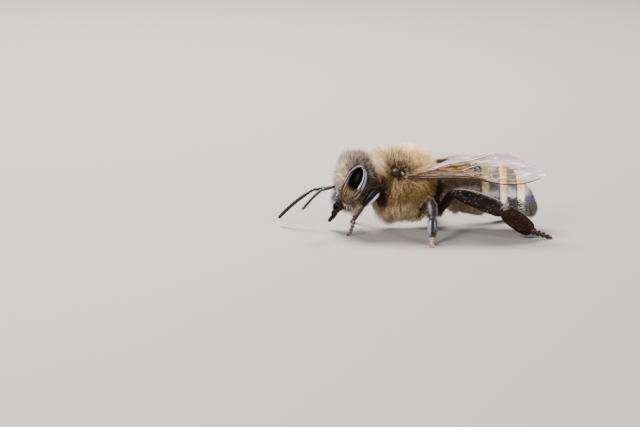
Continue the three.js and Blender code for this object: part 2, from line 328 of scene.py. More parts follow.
def makeCoatGroup():
    # hair colour from the root to the tip, tinted by height, by the markings and by each hair's own tone
    group, gives, result = newGroup("coatColour", {
        "Place": None, "Along": 0.0, "Tone": 0.5, "Dark": 0.0, "Glow": 0.0, "Root": (0.1, 0.06, 0.03),
        "Back": (0.6, 0.4, 0.2), "Side": (0.5, 0.35, 0.2), "Belly": (0.6, 0.5, 0.35), "Low": 1.0, "High": 4.0,
        "Patches": 0.5, "Shade": (0.1, 0.06, 0.03), "Gold": (0.8, 0.6, 0.3)}, {"Color": (0.0, 0.0, 0.0)})
    place, along, tone, dark, glow, root, back, side, belly, low, high, patches, shade, gold = gives
    height = axesOf(place)[2]
    middle = (low + high) * 0.5
    below = mixed(ramp(height, low, middle), belly, side)
    tip = mixed(glow, mixed(ramp(height, middle, high), below, back), gold)
    tip = mixed(dark, tip, shade)
    patch = ramp(noise(place, 1.6, 3), 0.35, 0.7) * patches
    tip = mixed(patch, tip, mixed(0.6, tip, root))
    reach = along * (tone + 0.5)
    colour = mixed(ramp(reach, 0.12, 0.85), mixed(glow * 0.55, root, gold), tip)
    # golden places are painted brighter too, on the thorax's rear top as painted backlight
    light = tone * 1.1 + 0.4 + glow * 0.16
    feed(result, {"Color": addNode("ShaderNodeVectorMath", {0: colour, 1: light}, operation="MULTIPLY")})
    return group


def makeGrainGroup():
    # fine pits and short scratches of horn, as a height
    group, (place, pitScale, scratches, stretch), result = newGroup("hornGrain", {
        "Place": None, "Pits": 30.0, "Scratches": 12.0, "Stretch": 6.0}, {"Height": 0.0, "Mask": 0.0})
    pits = addNode("ShaderNodeTexVoronoi", {"Vector": place, "Scale": pitScale})
    long = addNode("ShaderNodeCombineXYZ", {0: stretch, 1: 1.0, 2: 1.0})
    squeezed = addNode("ShaderNodeVectorMath", {0: place, 1: long}, operation="DIVIDE")
    lines = noise(squeezed, scratches, 5)
    feed(result, {"Height": pits * 0.6 + lines, "Mask": ramp(lines, 0.4, 0.65)})
    return group


def makeFacetGroup():
    # the six-sided lenses of an insect's eye, as a height
    group, (place, size), result = newGroup("eyeFacets", {"Place": None, "Size": 0.04}, {"Height": 0.0})
    cells = addNode("ShaderNodeTexVoronoi", {"Vector": place, "Scale": 1.0 / size, "Randomness": 0.15})
    feed(result, {"Height": 1.0 - cells})
    return group


def placeGroup(group, inputs):
    return allOutputs("ShaderNodeGroup", inputs, node_tree=group)


coatGroup = makeCoatGroup()
grainGroup = makeGrainGroup()
facetGroup = makeFacetGroup()

coatLabels = ("Root", "Back", "Side", "Belly", "Low", "High", "Patches", "Shade", "Gold")
# colours of the root and of the back, side and belly, the heights that they run between, how patchy the
# coat is, and the tints of its dark and golden places
coatColours = {
    "thorax": ((0.1, 0.05, 0.018), (1.0, 0.75, 0.44), (0.43, 0.265, 0.095), (1.0, 0.78, 0.48), 0.7, 4.3, 0.4,
               (0.06, 0.022, 0.013), (1.0, 0.76, 0.38)),
    "head": ((0.16, 0.115, 0.085), (0.34, 0.26, 0.22), (1.0, 0.86, 0.68), (1.0, 0.82, 0.58), 1.6, 4.6, 0.4,
             (0.2, 0.125, 0.065), (1.0, 0.86, 0.56)),
    "cheek": ((0.1, 0.06, 0.03), (0.4, 0.28, 0.15), (0.56, 0.43, 0.25), (0.52, 0.38, 0.22), 1.6, 4.0, 0.5),
    "band": ((0.9, 0.78, 0.56), (1.0, 0.66, 0.28), (1.0, 0.94, 0.8), (0.85, 0.74, 0.54), 1.0, 3.5, 0.15),
    "fuzz": ((0.06, 0.035, 0.02), (0.7, 0.48, 0.25), (0.72, 0.54, 0.35), (0.58, 0.4, 0.25), 0.9, 3.6, 0.4),
    "rust": ((0.012, 0.005, 0.003), (0.07, 0.026, 0.015), (0.13, 0.06, 0.038), (0.6, 0.42, 0.26),
             0.7, 3.0, 0.3),
    "greyFuzz": ((0.25, 0.22, 0.2), (0.7, 0.62, 0.52), (0.75, 0.7, 0.66), (0.6, 0.54, 0.46), 1.0, 4.0, 0.3),
    "bristle": ((0.3, 0.22, 0.15), (0.85, 0.76, 0.62), (0.85, 0.78, 0.68), (0.8, 0.68, 0.52), 0.5, 3.0, 0.2),
    "silver": ((0.6, 0.56, 0.55), (1.0, 0.97, 0.97), (1.0, 0.97, 0.97), (1.0, 0.94, 0.9), 0.5, 3.0, 0.1),
    "darkBristle": ((0.012, 0.005, 0.003), (0.06, 0.022, 0.01), (0.06, 0.022, 0.01), (0.07, 0.025, 0.01),
                    0.5, 3.0, 0.2),
}


def coatMaterial(name, colours, onSkin=False):
    # on hair the colour runs from root to tip, on the skin below it is that of the hair at one place
    skinTone, skinAlong = 0.4, 0.22
    material, surface = newMaterial(name, {"Roughness": 0.6, "Specular IOR Level": 0.15})
    colour = placeGroup(coatGroup, {
        "Place": placeOnBee(), "Along": skinAlong if onSkin else readMark("along"),
        "Tone": skinTone if onSkin else readMark("tone"), "Dark": readMark("dark"), "Glow": readMark("glow"),
        **dict(zip(coatLabels, colours))})[0]
    feed(surface, {"Base Color": colour})
    return material


coats = {name: coatMaterial(name + "Coat", colours) for name, colours in coatColours.items()}
skins = {name: coatMaterial(name + "Skin", coatColours[name], onSkin=True) for name in ("thorax", "head")}


def hornMaterial(name, dark, light, rough, coat=0.25, specular=0.3, scratches=9.0, bump=0.15, strip=None):
    # dark horn with a worn, browner tint in its scratches
    material, surface = newMaterial(name, {
        "Coat Weight": coat, "Coat Roughness": 0.14, "Specular IOR Level": specular})
    grain, worn = placeGroup(grainGroup, {"Place": placeOnBee(), "Pits": 26.0, "Scratches": scratches})
    colour = mixed(worn, dark, light)
    # a second colour laid by a mark: painted highlights and reflections on the clypeus and the front and
    # middle shins, the real brown end of the hind shins
    if strip:
        colour = mixed(readMark("strip"), colour, strip)
    feed(surface, {
        "Base Color": colour, "Roughness": worn * 0.12 + rough, "Normal": bumps(grain, bump, 0.02)})
    return material


horn = {
    "shell": dict(dark=(0.01, 0.003, 0.002), light=(0.035, 0.012, 0.008), rough=0.55, coat=0.0, specular=0.2),
    # the knuckles' pale mottling is partly a painted highlight
    "knuckle": dict(dark=(0.03, 0.012, 0.009), light=(0.36, 0.25, 0.22), rough=0.3, scratches=22.0),
    "leg": dict(dark=(0.003, 0.002, 0.002), light=(0.012, 0.006, 0.004), rough=0.3, coat=0.1, specular=0.15,
                strip=(0.025, 0.009, 0.005)),
    # the front shin's pale second colour is a painted reflection, and the middle leg's a painted highlight
    "foreLeg": dict(dark=(0.002, 0.0015, 0.002), light=(0.006, 0.004, 0.005), rough=0.35, coat=0.03,
                    specular=0.12, bump=0.05, strip=(0.95, 0.9, 0.95)),
    "foreAnkle": dict(dark=(0.01, 0.005, 0.003), light=(0.05, 0.026, 0.015), rough=0.4, scratches=16.0),
    "middleLeg": dict(dark=(0.008, 0.007, 0.009), light=(0.03, 0.03, 0.036), rough=0.28, coat=0.4, bump=0.05,
                      strip=(0.3, 0.31, 0.38)),
    "basitarsus": dict(dark=(0.006, 0.002, 0.001), light=(0.04, 0.012, 0.005), rough=0.5, coat=0.0,
                       specular=0.1, scratches=30.0, bump=0.04),
    "rim": dict(dark=(0.5, 0.4, 0.3), light=(0.85, 0.75, 0.62), rough=0.4, scratches=20.0),
    "paleFoot": dict(dark=(0.3, 0.17, 0.1), light=(0.6, 0.4, 0.27), rough=0.35),
    "brownFoot": dict(dark=(0.06, 0.03, 0.018), light=(0.26, 0.17, 0.11), rough=0.35),
    "darkFoot": dict(dark=(0.018, 0.007, 0.004), light=(0.07, 0.03, 0.014), rough=0.35),
    "rightFeeler": dict(dark=(0.005, 0.004, 0.005), light=(0.016, 0.013, 0.013), rough=0.45, coat=0.1),
    # the left feeler is the same horn as the right one, lighter and bluer by a painted sheen
    "leftFeeler": dict(dark=(0.02, 0.02, 0.026), light=(0.07, 0.07, 0.09), rough=0.4),
    "mouth": dict(dark=(0.004, 0.002, 0.0015), light=(0.018, 0.007, 0.004), rough=0.35, coat=0.1,
                  specular=0.15),
    # the clypeus's bluish grey is partly its own colour and partly a painted reflection of the sky, and its
    # second colour is a painted highlight
    "clypeus": dict(dark=(0.07, 0.078, 0.1), light=(0.17, 0.185, 0.23), rough=0.25, coat=0.6, scratches=14.0,
                    strip=(0.62, 0.66, 0.76)),
    "skin": dict(dark=(0.03, 0.01, 0.006), light=(0.08, 0.028, 0.014), rough=0.6, coat=0.0),
    "vein": dict(dark=(0.025, 0.008, 0.004), light=(0.08, 0.028, 0.01), rough=0.3, bump=0.1),
}
horns = {name: hornMaterial(name, **settings) for name, settings in horn.items()}


def makeVeinMaterial(name, inner, outer):
    # darker by the shoulder than further out, where the paler colour is partly a painted highlight
    material, surface = newMaterial(name, {"Roughness": 0.3, "Coat Weight": 0.2, "Coat Roughness": 0.12})
    place = placeOnBee()
    outwards = ramp(axesOf(place)[0] + noise(place, 1.6, 3), 2.2, 4.2)
    feed(surface, {"Base Color": mixed(outwards, inner, outer)})
    return material


veinMaterial = makeVeinMaterial("wingVein", (0.1, 0.035, 0.012), (0.62, 0.42, 0.28))
# the pale edge wires stand partly for light caught along the wing's edge, a painted highlight
marginMaterial = makeVeinMaterial("wingMargin", (0.55, 0.33, 0.14), (0.95, 0.86, 0.92))

# lines round the black core of the eye: place from the core (0) to the rim (1), half width and colour
# the pale and bluish lines are painted reflections of the sky
eyeLinesAndReflections = {
    "front": [(0.12, 0.12, (0.035, 0.03, 0.03)), (0.36, 0.13, (0.13, 0.115, 0.12)),
              (0.52, 0.06, (0.34, 0.32, 0.33)), (0.66, 0.06, (0.02, 0.015, 0.014)),
              (0.83, 0.1, (0.5, 0.48, 0.49)), (1.0, 0.06, (0.03, 0.025, 0.025))],
    "rear": [(0.12, 0.1, (0.62, 0.64, 0.7)), (0.36, 0.1, (0.012, 0.025, 0.08)),
             (0.68, 0.2, (0.33, 0.34, 0.38)), (0.98, 0.08, (0.03, 0.028, 0.035))],
    "low": [(0.12, 0.16, (0.05, 0.035, 0.02)), (0.36, 0.08, (0.2, 0.16, 0.11)),
            (0.55, 0.08, (0.02, 0.012, 0.008)), (0.76, 0.1, (0.4, 0.34, 0.26)),
            (0.97, 0.1, (0.025, 0.015, 0.01))],
}


def makeEyeMaterial():
    # a black core, silvery and bluish lines round it as painted reflections, golden brown streaks low down
    material, surface = newMaterial("eyeLens", {
        "Roughness": 0.3, "Coat Weight": 0.0, "Specular IOR Level": 0.025})
    ring, ahead, across, up = (readMark(name) for name in ("ring", "ahead", "across", "up"))
    streaks = noise(addNode("ShaderNodeCombineXYZ", {0: across * 5.0, 1: up}), 2.4, 4)
    unevenness = streaks - 0.5
    wavy = ring + unevenness * 0.12
    lined = {}
    for half, lines in eyeLinesAndReflections.items():
        lined[half] = (0.0015, 0.0015, 0.002)
        for middle, width, colour in lines:
            lined[half] = mixed(ramp(abs(wavy - middle), width * 1.4, width * 0.6), lined[half], colour)
    behind = mixed(ramp(up, 0.12, -0.12), lined["rear"], lined["low"])
    both = mixed(ramp(ahead, -0.15, 0.35), behind, lined["front"])
    golden = mixed(ramp(streaks, 0.36, 0.64), (0.035, 0.018, 0.008), (0.33, 0.24, 0.13))
    rear = ramp(ahead, 0.1, -0.4) * ramp(ring, 0.1, 0.4)
    coloured = mixed(ramp(up + unevenness * 0.7 + rear * 0.3, -0.02, -0.42), both, golden)
    foot = mixed(ramp(up, -0.85, -0.97), coloured, (0.03, 0.016, 0.008))
    facets = placeGroup(facetGroup, {"Place": placeOnBee(), "Size": 0.035})[0]
    feed(surface, {"Base Color": foot, "Normal": bumps(facets, 0.1, 0.006)})
    return material


def makeAbdomenMaterial():
    # brown-black plates, glossier towards the tail, with cream felt where the bands are and painted
    # reflections of the sky
    material, surface = newMaterial("abdomenHorn", {"Coat Roughness": 0.2, "Specular IOR Level": 0.35})
    place = placeOnBee()
    x, y, z = axesOf(place)
    front = mixed(ramp(x, 3.2, 4.4), (0.17, 0.105, 0.07), (0.2, 0.175, 0.16))
    # the rear plates' pale grey is partly their own colour and partly a painted reflection
    front = mixed(ramp(x, 5.2, 5.8), front, (0.36, 0.35, 0.34))
    # the bluish tint of the tail's flanks is a painted reflection of the sky
    paintedSkyBlue = mixed(ramp(abs(y), 0.3, 0.75), (0.07, 0.07, 0.09), (0.1, 0.13, 0.29))
    tail = mixed(ramp(z, 1.65, 2.05), (0.02, 0.018, 0.02), paintedSkyBlue)
    # the tail's pale lilac top is a painted highlight
    tail = mixed(ramp(z, 2.1, 2.55), tail, (0.62, 0.57, 0.74))
    base = mixed(ramp(x, 6.4, 6.75), front, tail)
    # darker on top and at the foot of the flanks, with a painted bluish highlight between the two
    height = z + noise(place, 3.5, 4) * 0.8
    base = mixed(ramp(height, 3.3, 3.6) * 0.75, base, (0.07, 0.055, 0.045))
    foot = ramp(height, 2.85, 2.6) * ramp(x, 4.4, 5.0) * ramp(x, 6.6, 6.4)
    base = mixed(foot, base, (0.05, 0.048, 0.045))
    flank = ramp(height, 2.7, 2.9) * ramp(height, 3.3, 3.0)
    paintedHighlight = flank * (ramp(x, 4.8, 5.4) * 0.5 + 0.35) * ramp(x, 3.9, 4.3)
    base = mixed(paintedHighlight, base, (0.9, 0.9, 1.0))
    grain, worn = placeGroup(grainGroup, {"Place": place, "Pits": 20.0, "Scratches": 14.0, "Stretch": 4.0})
    base = mixed(worn * 0.5, base, mixed(0.5, base, (0.16, 0.11, 0.07)))
    base = mixed(ramp(readMark("share"), 0.93, 1.0), base, (0.06, 0.04, 0.028))
    felt = readMark("felt")
    dull = mixed(ramp(x, 3.0, 4.2), (0.55, 0.55, 0.55), (0.32, 0.32, 0.32))
    feed(surface, {
        "Base Color": mixed(felt, base, (0.8, 0.7, 0.5)), "Roughness": mixed(felt, dull, (0.75, 0.75, 0.75)),
        "Coat Weight": ramp(x, 4.2, 5.0) * 0.6 * (1.0 - felt), "Normal": bumps(grain, 0.35, 0.02)})
    return material


def makeWingMaterial(name, pale, clear, cloudy, veil, amberShift, crumpled):
    # amber by the shoulder, pale lilac towards the tip and whiter along the inner side, with painted white
    # highlights along its folds
    # clear and cloudy are the least and most that the membrane hides, veil is how much more the inner side
    # does, crumpled is 1 for the wing with the crumpled spot on the left
    material, surface = newMaterial(name, {"Roughness": 0.25, "Coat Roughness": 0.12})
    place = placeOnBee()
    rightSide = ramp(axesOf(place)[1], -0.3, 0.3)
    out, inwards = readMark("out"), readMark("inwards")
    drift = (noise(place, 1.1, 4) - 0.5) * 0.25
    amberTo = out + drift + inwards * 0.1 + rightSide * 0.22 + amberShift
    long = addNode("ShaderNodeVectorMath", {0: place, 1: (3.0, 1.0, 1.0)}, operation="DIVIDE")
    ripple = noise(long, 4, 6)
    amber = mixed(ramp(ripple, 0.42, 0.6), (0.06, 0.026, 0.009), (0.34, 0.18, 0.058))
    # white lines along the folds are a painted highlight
    foldHighlight = ramp(ripple, 0.54, 0.62)
    straw = ramp(amberTo, 0.98, 0.75) * ramp(inwards, 0.75, 0.5)
    outer = mixed(foldHighlight, mixed(straw, pale, (0.8, 0.56, 0.34)), (1.0, 0.95, 0.97))
    paleShare = ramp(amberTo, 0.52, 0.72)
    plain = mixed(paleShare, amber, outer)
    # a crumpled dark spot whose folds carry painted white glints
    away = ((out - 0.497) / 0.038) ** 2.0
    aside = ((inwards - 0.58) / 0.3) ** 2.0
    ragged = (ripple - 0.5) * 4.0
    crumple = ramp(away + aside + ragged, 1.1, 0.7) * mathNode("MAXIMUM", crumpled - rightSide, 0.0)
    ridge = abs(noise(place, 7, 1, 1.0) - 0.5)
    glint = mixed(ramp(ridge, 0.016, 0.005), (0.015, 0.013, 0.012), (0.95, 0.92, 0.9))
    shine = paleShare * (1.0 - crumple)
    hides = addNode("ShaderNodeMapRange", {0: ripple, 1: 0.4, 2: 0.65, 3: clear, 4: cloudy})
    for share, amount in ((ramp(inwards, 0.45, 0.8), veil), (ramp(out, 0.76, 0.95), 0.6),
                          (foldHighlight * ramp(out, 0.4, 0.6), 0.16), (ramp(amberTo, 0.68, 0.45), 0.5),
                          (crumple, 0.9)):
        hides = hides + share * amount
    feed(surface, {
        "Base Color": mixed(crumple, plain, glint), "Specular IOR Level": shine * 0.4 + 0.1,
        "Coat Weight": shine * 0.3, "Normal": bumps(ripple, 0.7, 0.08),
        "Alpha": mathNode("MINIMUM", hides, 0.92)})
    return material


eyeMaterial = makeEyeMaterial()
abdomenMaterial = makeAbdomenMaterial()
wingMaterials = {"fore": makeWingMaterial("foreMembrane", (0.68, 0.48, 0.57), 0.03, 0.14, 0.55, 0.0, 1.0),
                 "hind": makeWingMaterial("hindMembrane", (0.76, 0.58, 0.67), 0.02, 0.12, 0.4, 0.5, 0.0)}
print("materials made")

# camera, lights and floor
view = {"lens": 180, "sensor": 36, "distance": 197.5, "rise": math.radians(12), "aim": (-5.93, 0, 0.98)}
bpy.ops.object.camera_add()
camera = bpy.context.object
camera.data.lens = view["lens"]
camera.data.sensor_width = view["sensor"]
camera.data.clip_start, camera.data.clip_end = 0.001, 5
back = Vector((0, -math.cos(view["rise"]), math.sin(view["rise"])))
camera.location = toFrame @ (Vector(view["aim"]) + back * view["distance"])
camera.rotation_mode = "QUATERNION"
camera.rotation_quaternion = (-back).to_track_quat("-Z", "Y")
bpy.context.scene.camera = camera

lamps = {
    "skyPanel": {"place": (-30, 80, 105), "size": 60, "power": 0.56, "colour": (1.0, 0.97, 0.93)},
    "frontPanel": {"place": (-70, -90, 80), "size": 45, "power": 0.17, "colour": (1.0, 0.97, 0.93)},
    "sidePanel": {"place": (80, -80, 60), "size": 40, "power": 0.08, "colour": (0.9, 0.95, 1.0)},
}
litPlace = Vector((0, 0, 2))
for name, lamp in lamps.items():
    bpy.ops.object.light_add(type="AREA")
    light = bpy.context.object
    light.name = name
    light.data.shape = "DISK"
    light.data.size = lamp["size"] * mm
    light.data.energy = lamp["power"]
    light.data.color = lamp["colour"]
    light.location = toFrame @ Vector(lamp["place"])
    light.rotation_mode = "QUATERNION"
    light.rotation_quaternion = (litPlace - Vector(lamp["place"])).to_track_quat("-Z", "Y")

world = bpy.data.worlds.new("studio")
world.use_nodes = True
skyInputs = world.node_tree.nodes["Background"].inputs
skyInputs["Color"].default_value = (0.82, 0.84, 0.87, 1)
skyInputs["Strength"].default_value = 0.29
bpy.context.scene.world = world

activate()
bpy.ops.mesh.primitive_plane_add(size=3)
floor = bpy.context.object
floor.name = "floor"
floorMaterial, _ = newMaterial("paleFloor", {"Base Color": (0.37, 0.335, 0.325), "Roughness": 0.7})
floor.data.materials.append(floorMaterial)
print("camera, lights and floor made")

# the head, measured from its middle along its own three ways
head = {
    "centre": (-3.75, 0, 3.1), "lean": math.radians(26.5), "top": 1.84, "bottom": -2.0, "squareness": 2.7,
    "face": [(-1, 0.98), (-0.8, 1.16), (-0.4, 1.14), (0, 1.34), (0.5, 1.4), (1, 1.25)],
    "nape": [(-1, 0.95), (-0.5, 1.02), (0, 1.04), (0.6, 0.86), (1, 0.6)],
    "cheek": [(-1, 0.95), (-0.8, 1.06), (-0.4, 1.34), (0, 1.58), (0.5, 1.66), (1, 1.5)],
    "coatDepth": [(-1, 0.16), (-0.6, 0.14), (-0.2, 0.2), (0.3, 0.38), (0.7, 0.5), (1, 0.6)],
}
headUp = np.array([math.sin(head["lean"]), 0, math.cos(head["lean"])])
headForward = np.array([-headUp[2], 0, headUp[0]])
headSide = np.array([0, 1, 0])
headTurn = Matrix((headForward, headSide, headUp)).transposed()


def fromHead(forward, side, up):
    spread = [np.asarray(value, float)[..., None] for value in (forward, side, up)]
    return np.array(head["centre"]) + spread[0] * headForward + spread[1] * headSide + spread[2] * headUp


def toHead(points):
    offset = points - np.array(head["centre"])
    return offset @ headForward, offset @ headSide, offset @ headUp


def squareBall(points, squareness):
    # shares along the poles (z) and the width of a boxy ball there, with the direction round it
    along = np.clip(points[:, 2], -1, 1)
    wide = np.maximum(0, 1 - np.abs(along) ** squareness) ** (1 / squareness)
    out = np.maximum(np.hypot(points[:, 0], points[:, 1]), 1e-9)
    return along, wide, points[:, 0] / out, points[:, 1] / out


def unitBall(around, rings):
    return ballOf((1, 1, 1), (0, 0, 0), None, around, rings)


def makeHeadSkin():
    face, nape, cheek, depth = (curveOf(head[key]) for key in ("face", "nape", "cheek", "coatDepth"))
    middle, half = (head["top"] + head["bottom"]) / 2, (head["top"] - head["bottom"]) / 2

    def move(points):
        along, wide, a, b = squareBall(points, head["squareness"])
        inset = depth(along)
        front = np.where(b > 0, face(along), nape(along)) - inset
        return fromHead(wide * b * front, wide * a * (cheek(along) - inset), middle + along * (half - inset))

    return shape(unitBall(72, 48), move)


eye = {
    "forward": 0.08, "up": -0.07, "side": 1.44, "radii": (0.64, 0.56, 1.28), "turn": math.radians(14),
    "squareness": 2.2, "bow": 0.12, "core": np.array([0.12, 0.3]), "coreRadii": (0.53, 0.62),
}


def eyePlace(points, side, grow=0.0):
    # points of a unit ball, poles along z, x towards the face and y outwards
    along, wide, a, b = squareBall(points, eye["squareness"])
    turn = eye["turn"] * side
    f = wide * a * (eye["radii"][0] + grow)
    s = wide * b * (eye["radii"][1] + grow)
    return fromHead(
        eye["forward"] + f * math.cos(turn) - s * math.sin(turn),
        side * eye["side"] - f * math.sin(turn) + s * math.cos(turn) - side * eye["bow"] * along**2,
        eye["up"] + along * (eye["radii"][2] + grow))


def eyeRings(points, side):
    # how far each point lies from the black core (0) to the rim (1), and how far ahead of the core
    turn, centre = eye["turn"], eye["core"]
    out = points[:, 1] * side
    bulge = eye["radii"][1] / eye["radii"][0]
    seen = np.stack([points[:, 0] * math.cos(turn) - out * bulge * math.sin(turn), points[:, 2]], axis=1)
    offset = seen - centre
    distance = np.maximum(np.linalg.norm(offset, axis=1), 1e-6)
    way = offset / distance[:, None]
    coreEdge = 1 / np.hypot(way[:, 0] / eye["coreRadii"][0], way[:, 1] / eye["coreRadii"][1])
    rimEdge = -way @ centre + np.sqrt((way @ centre) ** 2 - centre @ centre + 1)
    ring = np.where(out > -0.05, (distance - coreEdge) / (rimEdge - coreEdge), 1.2)
    return np.clip(ring, -1, 1.2), way[:, 0]


def makeEye(side):
    piece = unitBall(96, 72)
    points = placesOf(piece)
    ring, ahead = eyeRings(points, side)
    across = points[:, 0] / np.sqrt(np.maximum(1 - points[:, 2] ** 2, 1e-4))
    mark(piece, ring=ring, ahead=ahead, across=across, up=points[:, 2])
    return shape(piece, lambda points: eyePlace(points, side))


def makeEyeRim(side):
    # a thin raised ring of horn where the eye meets the head
    activate()
    bpy.ops.mesh.primitive_torus_add(major_segments=72, minor_segments=10, major_radius=1, minor_radius=0.035)
    level = 0.3

    def move(points):
        out = np.hypot(points[:, 0], points[:, 1])
        circle = math.sqrt(1 - level**2) / out
        across = np.full(len(out), level * side)
        ball = np.stack([points[:, 0] * circle, across, points[:, 1] * circle], axis=1)
        ring = eyePlace(ball, side)
        outwards = unit(eyePlace(ball, side, 0.1) - ring)
        return ring + (out - 1)[:, None] * outwards + headSide * side * points[:, 2:3]

    return shape(bpy.context.object, move)


headSkin = makeHeadSkin()
eyes = {word: makeEye(side) for word, side in sides.items()}
eyeRims = joined([makeEyeRim(side) for side in sides.values()])

mouth = {
    "clypeus": {"forward": 0.6, "up": -1.36, "radii": (0.36, 0.8, 0.6)},
    "labrum": {"forward": 0.4, "up": -2.0, "radii": (0.16, 0.4, 0.26)},
    "cheekPlate": {"forward": 0.12, "side": 0.58, "up": -1.62, "radii": (0.46, 0.2, 0.26)},
    "fork": [(-0.05, 0.04), (0.1, 0.07, 0.05), (0.6, 0.06, 0.045), (1.02, 0.02)],
    "mandible": {"start": (-4.5, 0.62, 1.74), "end": (-5.12, 0.2, 0.96), "wide": (-1, 0, 0.2), "around": 16,
                 "stations": [(-0.1, 0.1), (0, 0.2, 0.18, -0.02), (0.2, 0.2, 0.17, -0.05),
                              (0.45, 0.145, 0.11, -0.07), (0.65, 0.13, 0.09, -0.05), (0.85, 0.14, 0.08, 0.0),
                              (1.0, 0.12, 0.06, 0.04), (1.06, 0.06, 0.03, 0.06)]},
    "tongue": {"start": (-4.84, 0.0, 1.2), "end": (-5.38, 0.0, 0.5), "wide": (1, 0, 0), "around": 16,
               "stations": [(-0.3, 0.12, 0.16), (0, 0.17, 0.2), (0.35, 0.11, 0.14), (0.8, 0.13, 0.14),
                            (0.97, 0.12, 0.13), (1.04, 0.07)]},
    "palp": {"start": (-4.72, 0.17, 1.3), "end": (-5.12, 0.2, 0.62), "wide": (1, 0, 0), "around": 10,
             "stations": [(-0.1, 0.04), (0.1, 0.055, 0.05), (0.5, 0.045, 0.04), (0.9, 0.03), (1.03, 0.012)]},
}


def mouthPlate(name, side=0, around=32, rings=20):
    plate = mouth[name]
    place = fromHead(plate["forward"], side * plate.get("side", 0), plate["up"])
    return ballOf(plate["radii"], place, headTurn, around, rings)


def mouthLimb(name, side=right):
    form = mouth[name]
    start, end = sided(form["start"], side), sided(form["end"], side)
    return limb(start, end, form["stations"], form["wide"], form["around"])


def clypeusHighlight(points):
    # painted highlights down either side of the clypeus, and a paler band of the same colour near its lower
    # edge
    f, s, h = toHead(points)
    shine = smoothStep(0.2, 0.06, np.abs(np.abs(s) - 0.34)) * smoothStep(0.42, 0.2, np.abs(h + 1.25))
    return np.maximum(shine, smoothStep(0.1, 0.04, np.abs(h + 1.74)) * 0.6)


clypeus, labrum = mouthPlate("clypeus"), mouthPlate("labrum")
mark(clypeus, strip=clypeusHighlight(placesOf(clypeus)))
# the pale forked edges below the clypeus, coloured mostly with its painted highlight
fork = joined([
    limb(fromHead(0.62, 0.05 * way, -1.72), fromHead(0.46, 0.36 * way, -2.3), mouth["fork"], (0, 1, 0), 10)
    for way in (left, right)])
mark(fork, strip=np.full(len(fork.data.vertices), 0.7))
mandibles = {word: joined([mouthLimb("mandible", side), mouthPlate("cheekPlate", side, 24, 16)])
             for word, side in sides.items()}
proboscis = joined([mouthLimb("tongue")] + [mouthLimb("palp", side) for side in sides.values()])
ocelli = joined([
    ballOf((0.1, 0.1, 0.08), fromHead(f, s, h), None, 16, 10)
    for f, s, h in ((0.42, 0, 1.2), (0.24, 0.22, 1.25), (0.24, -0.22, 1.25))])

feelers = {
    "left": {"socket": (-4.86, -0.3, 2.78), "elbow": (-5.83, -1.2, 2.71), "tip": (-6.97, -3.4, 1.99)},
    "right": {"socket": (-4.85, 0.3, 2.65), "elbow": (-6.37, 0.8, 2.3), "tip": (-8.48, 1.0, 0.5)},
}
feelerForm = {"scape": 0.095, "width": 0.118, "segments": 10, "arch": 0.1}


def makeFeeler(socket, elbow, tip):
    thin, wide, count = feelerForm["scape"], feelerForm["width"], feelerForm["segments"]
    scape = limb(socket, elbow, [(-0.08, 0.1), (-0.02, 0.12), (0.03, 0.07), (0.1, thin), (0.5, thin * 1.08),
                                 (0.92, thin * 1.15), (1, thin * 0.7)])
    rows = [(-0.02, 0.05), (0.02, 0.095), (0.07, 0.1), (0.085, 0.06)]
    for i in range(count):
        low, high = (lerp(0.09, 1, (i + part) / count) for part in (0, 1))
        swell = wide * (0.82 if i == 0 else 1) * (1 if i < count - 1 else 0.92)
        for share, girth in ((0.02, 0.88), (0.2, 1), (0.8, 1.02), (0.97, 0.9)):
            rows.append((lerp(low, high, share), swell * girth))
    rows.append((1.012, wide * 0.5))
    arched = [(at, girth, girth, 4 * feelerForm["arch"] * at * (1 - at)) for at, girth in rows]
    return scape, limb(elbow, tip, arched, around=14)


antennae = {word: makeFeeler(**places) for word, places in feelers.items()}
print("head modelled")

# the thorax
thorax = {
    "centre": (-0.62, 0, 2.82), "halfLength": 2.1, "halfWidth": 2.1, "halfHeight": 2.5, "squareness": 2.5,
    "waist": [(-1, 0.9), (-0.5, 0.98), (0, 1), (0.55, 0.97), (1, 0.74)],
    "belly": [(-1, 1.22), (-0.86, 1.08), (-0.57, 0.98), (-0.2, 0.955), (0.5, 0.952), (1, 0.82)],
    "ruff": [(-1, 1.38), (-0.9, 1.32), (-0.8, 1.19), (-0.6, 1.06), (-0.3, 1.01), (0, 1), (1, 1)],
    "coat": {"top": 0.84, "side": 0.55, "bottom": 0.62, "ends": 0.45},
    "neck": [(-0.3, 0.4), (0, 0.56), (0.5, 0.5), (1.1, 0.6)],
    "petiole": [(0, 0.6), (0.3, 0.42), (0.6, 0.34), (0.9, 0.5)],
    "tegula": (-1.26, 2.0, 3.88),
    # the small horny knuckles between the wing scale and the wing: place and radii
    "knuckles": [((-0.88, 2.05, 3.86), (0.12, 0.09, 0.1)), ((-0.7, 2.1, 3.72), (0.14, 0.08, 0.08)),
                 ((-0.52, 2.08, 3.8), (0.12, 0.07, 0.06))],
}


def near(points, place, reach):
    # 1 at a place and 0 away from it, the same on both sides of the body
    mirrored = np.stack([points[:, 0], np.abs(points[:, 1]), points[:, 2]], axis=1)
    offset = (mirrored - np.array(place)) / np.array(reach)
    return smoothStep(1.2, 0.4, np.linalg.norm(offset, axis=1))


# places and reaches of the marks on the thorax
bareSpot = ((-0.75, 1.6, 3.2), (0.3, 0.4, 0.36))
# how dark each is: a greyer saddle on top, painted shade in the gap behind the head and below it, and the
# bare patch
darkMarksAndShade = [((-1.55, 1.3, 4.0), (1.15, 0.9, 0.6), 0.6), ((-2.05, 1.5, 3.2), (0.8, 1.1, 0.95), 1),
             ((-1.95, 1.5, 2.4), (0.45, 0.8, 0.5), 0.5), (*bareSpot, 0.3)]


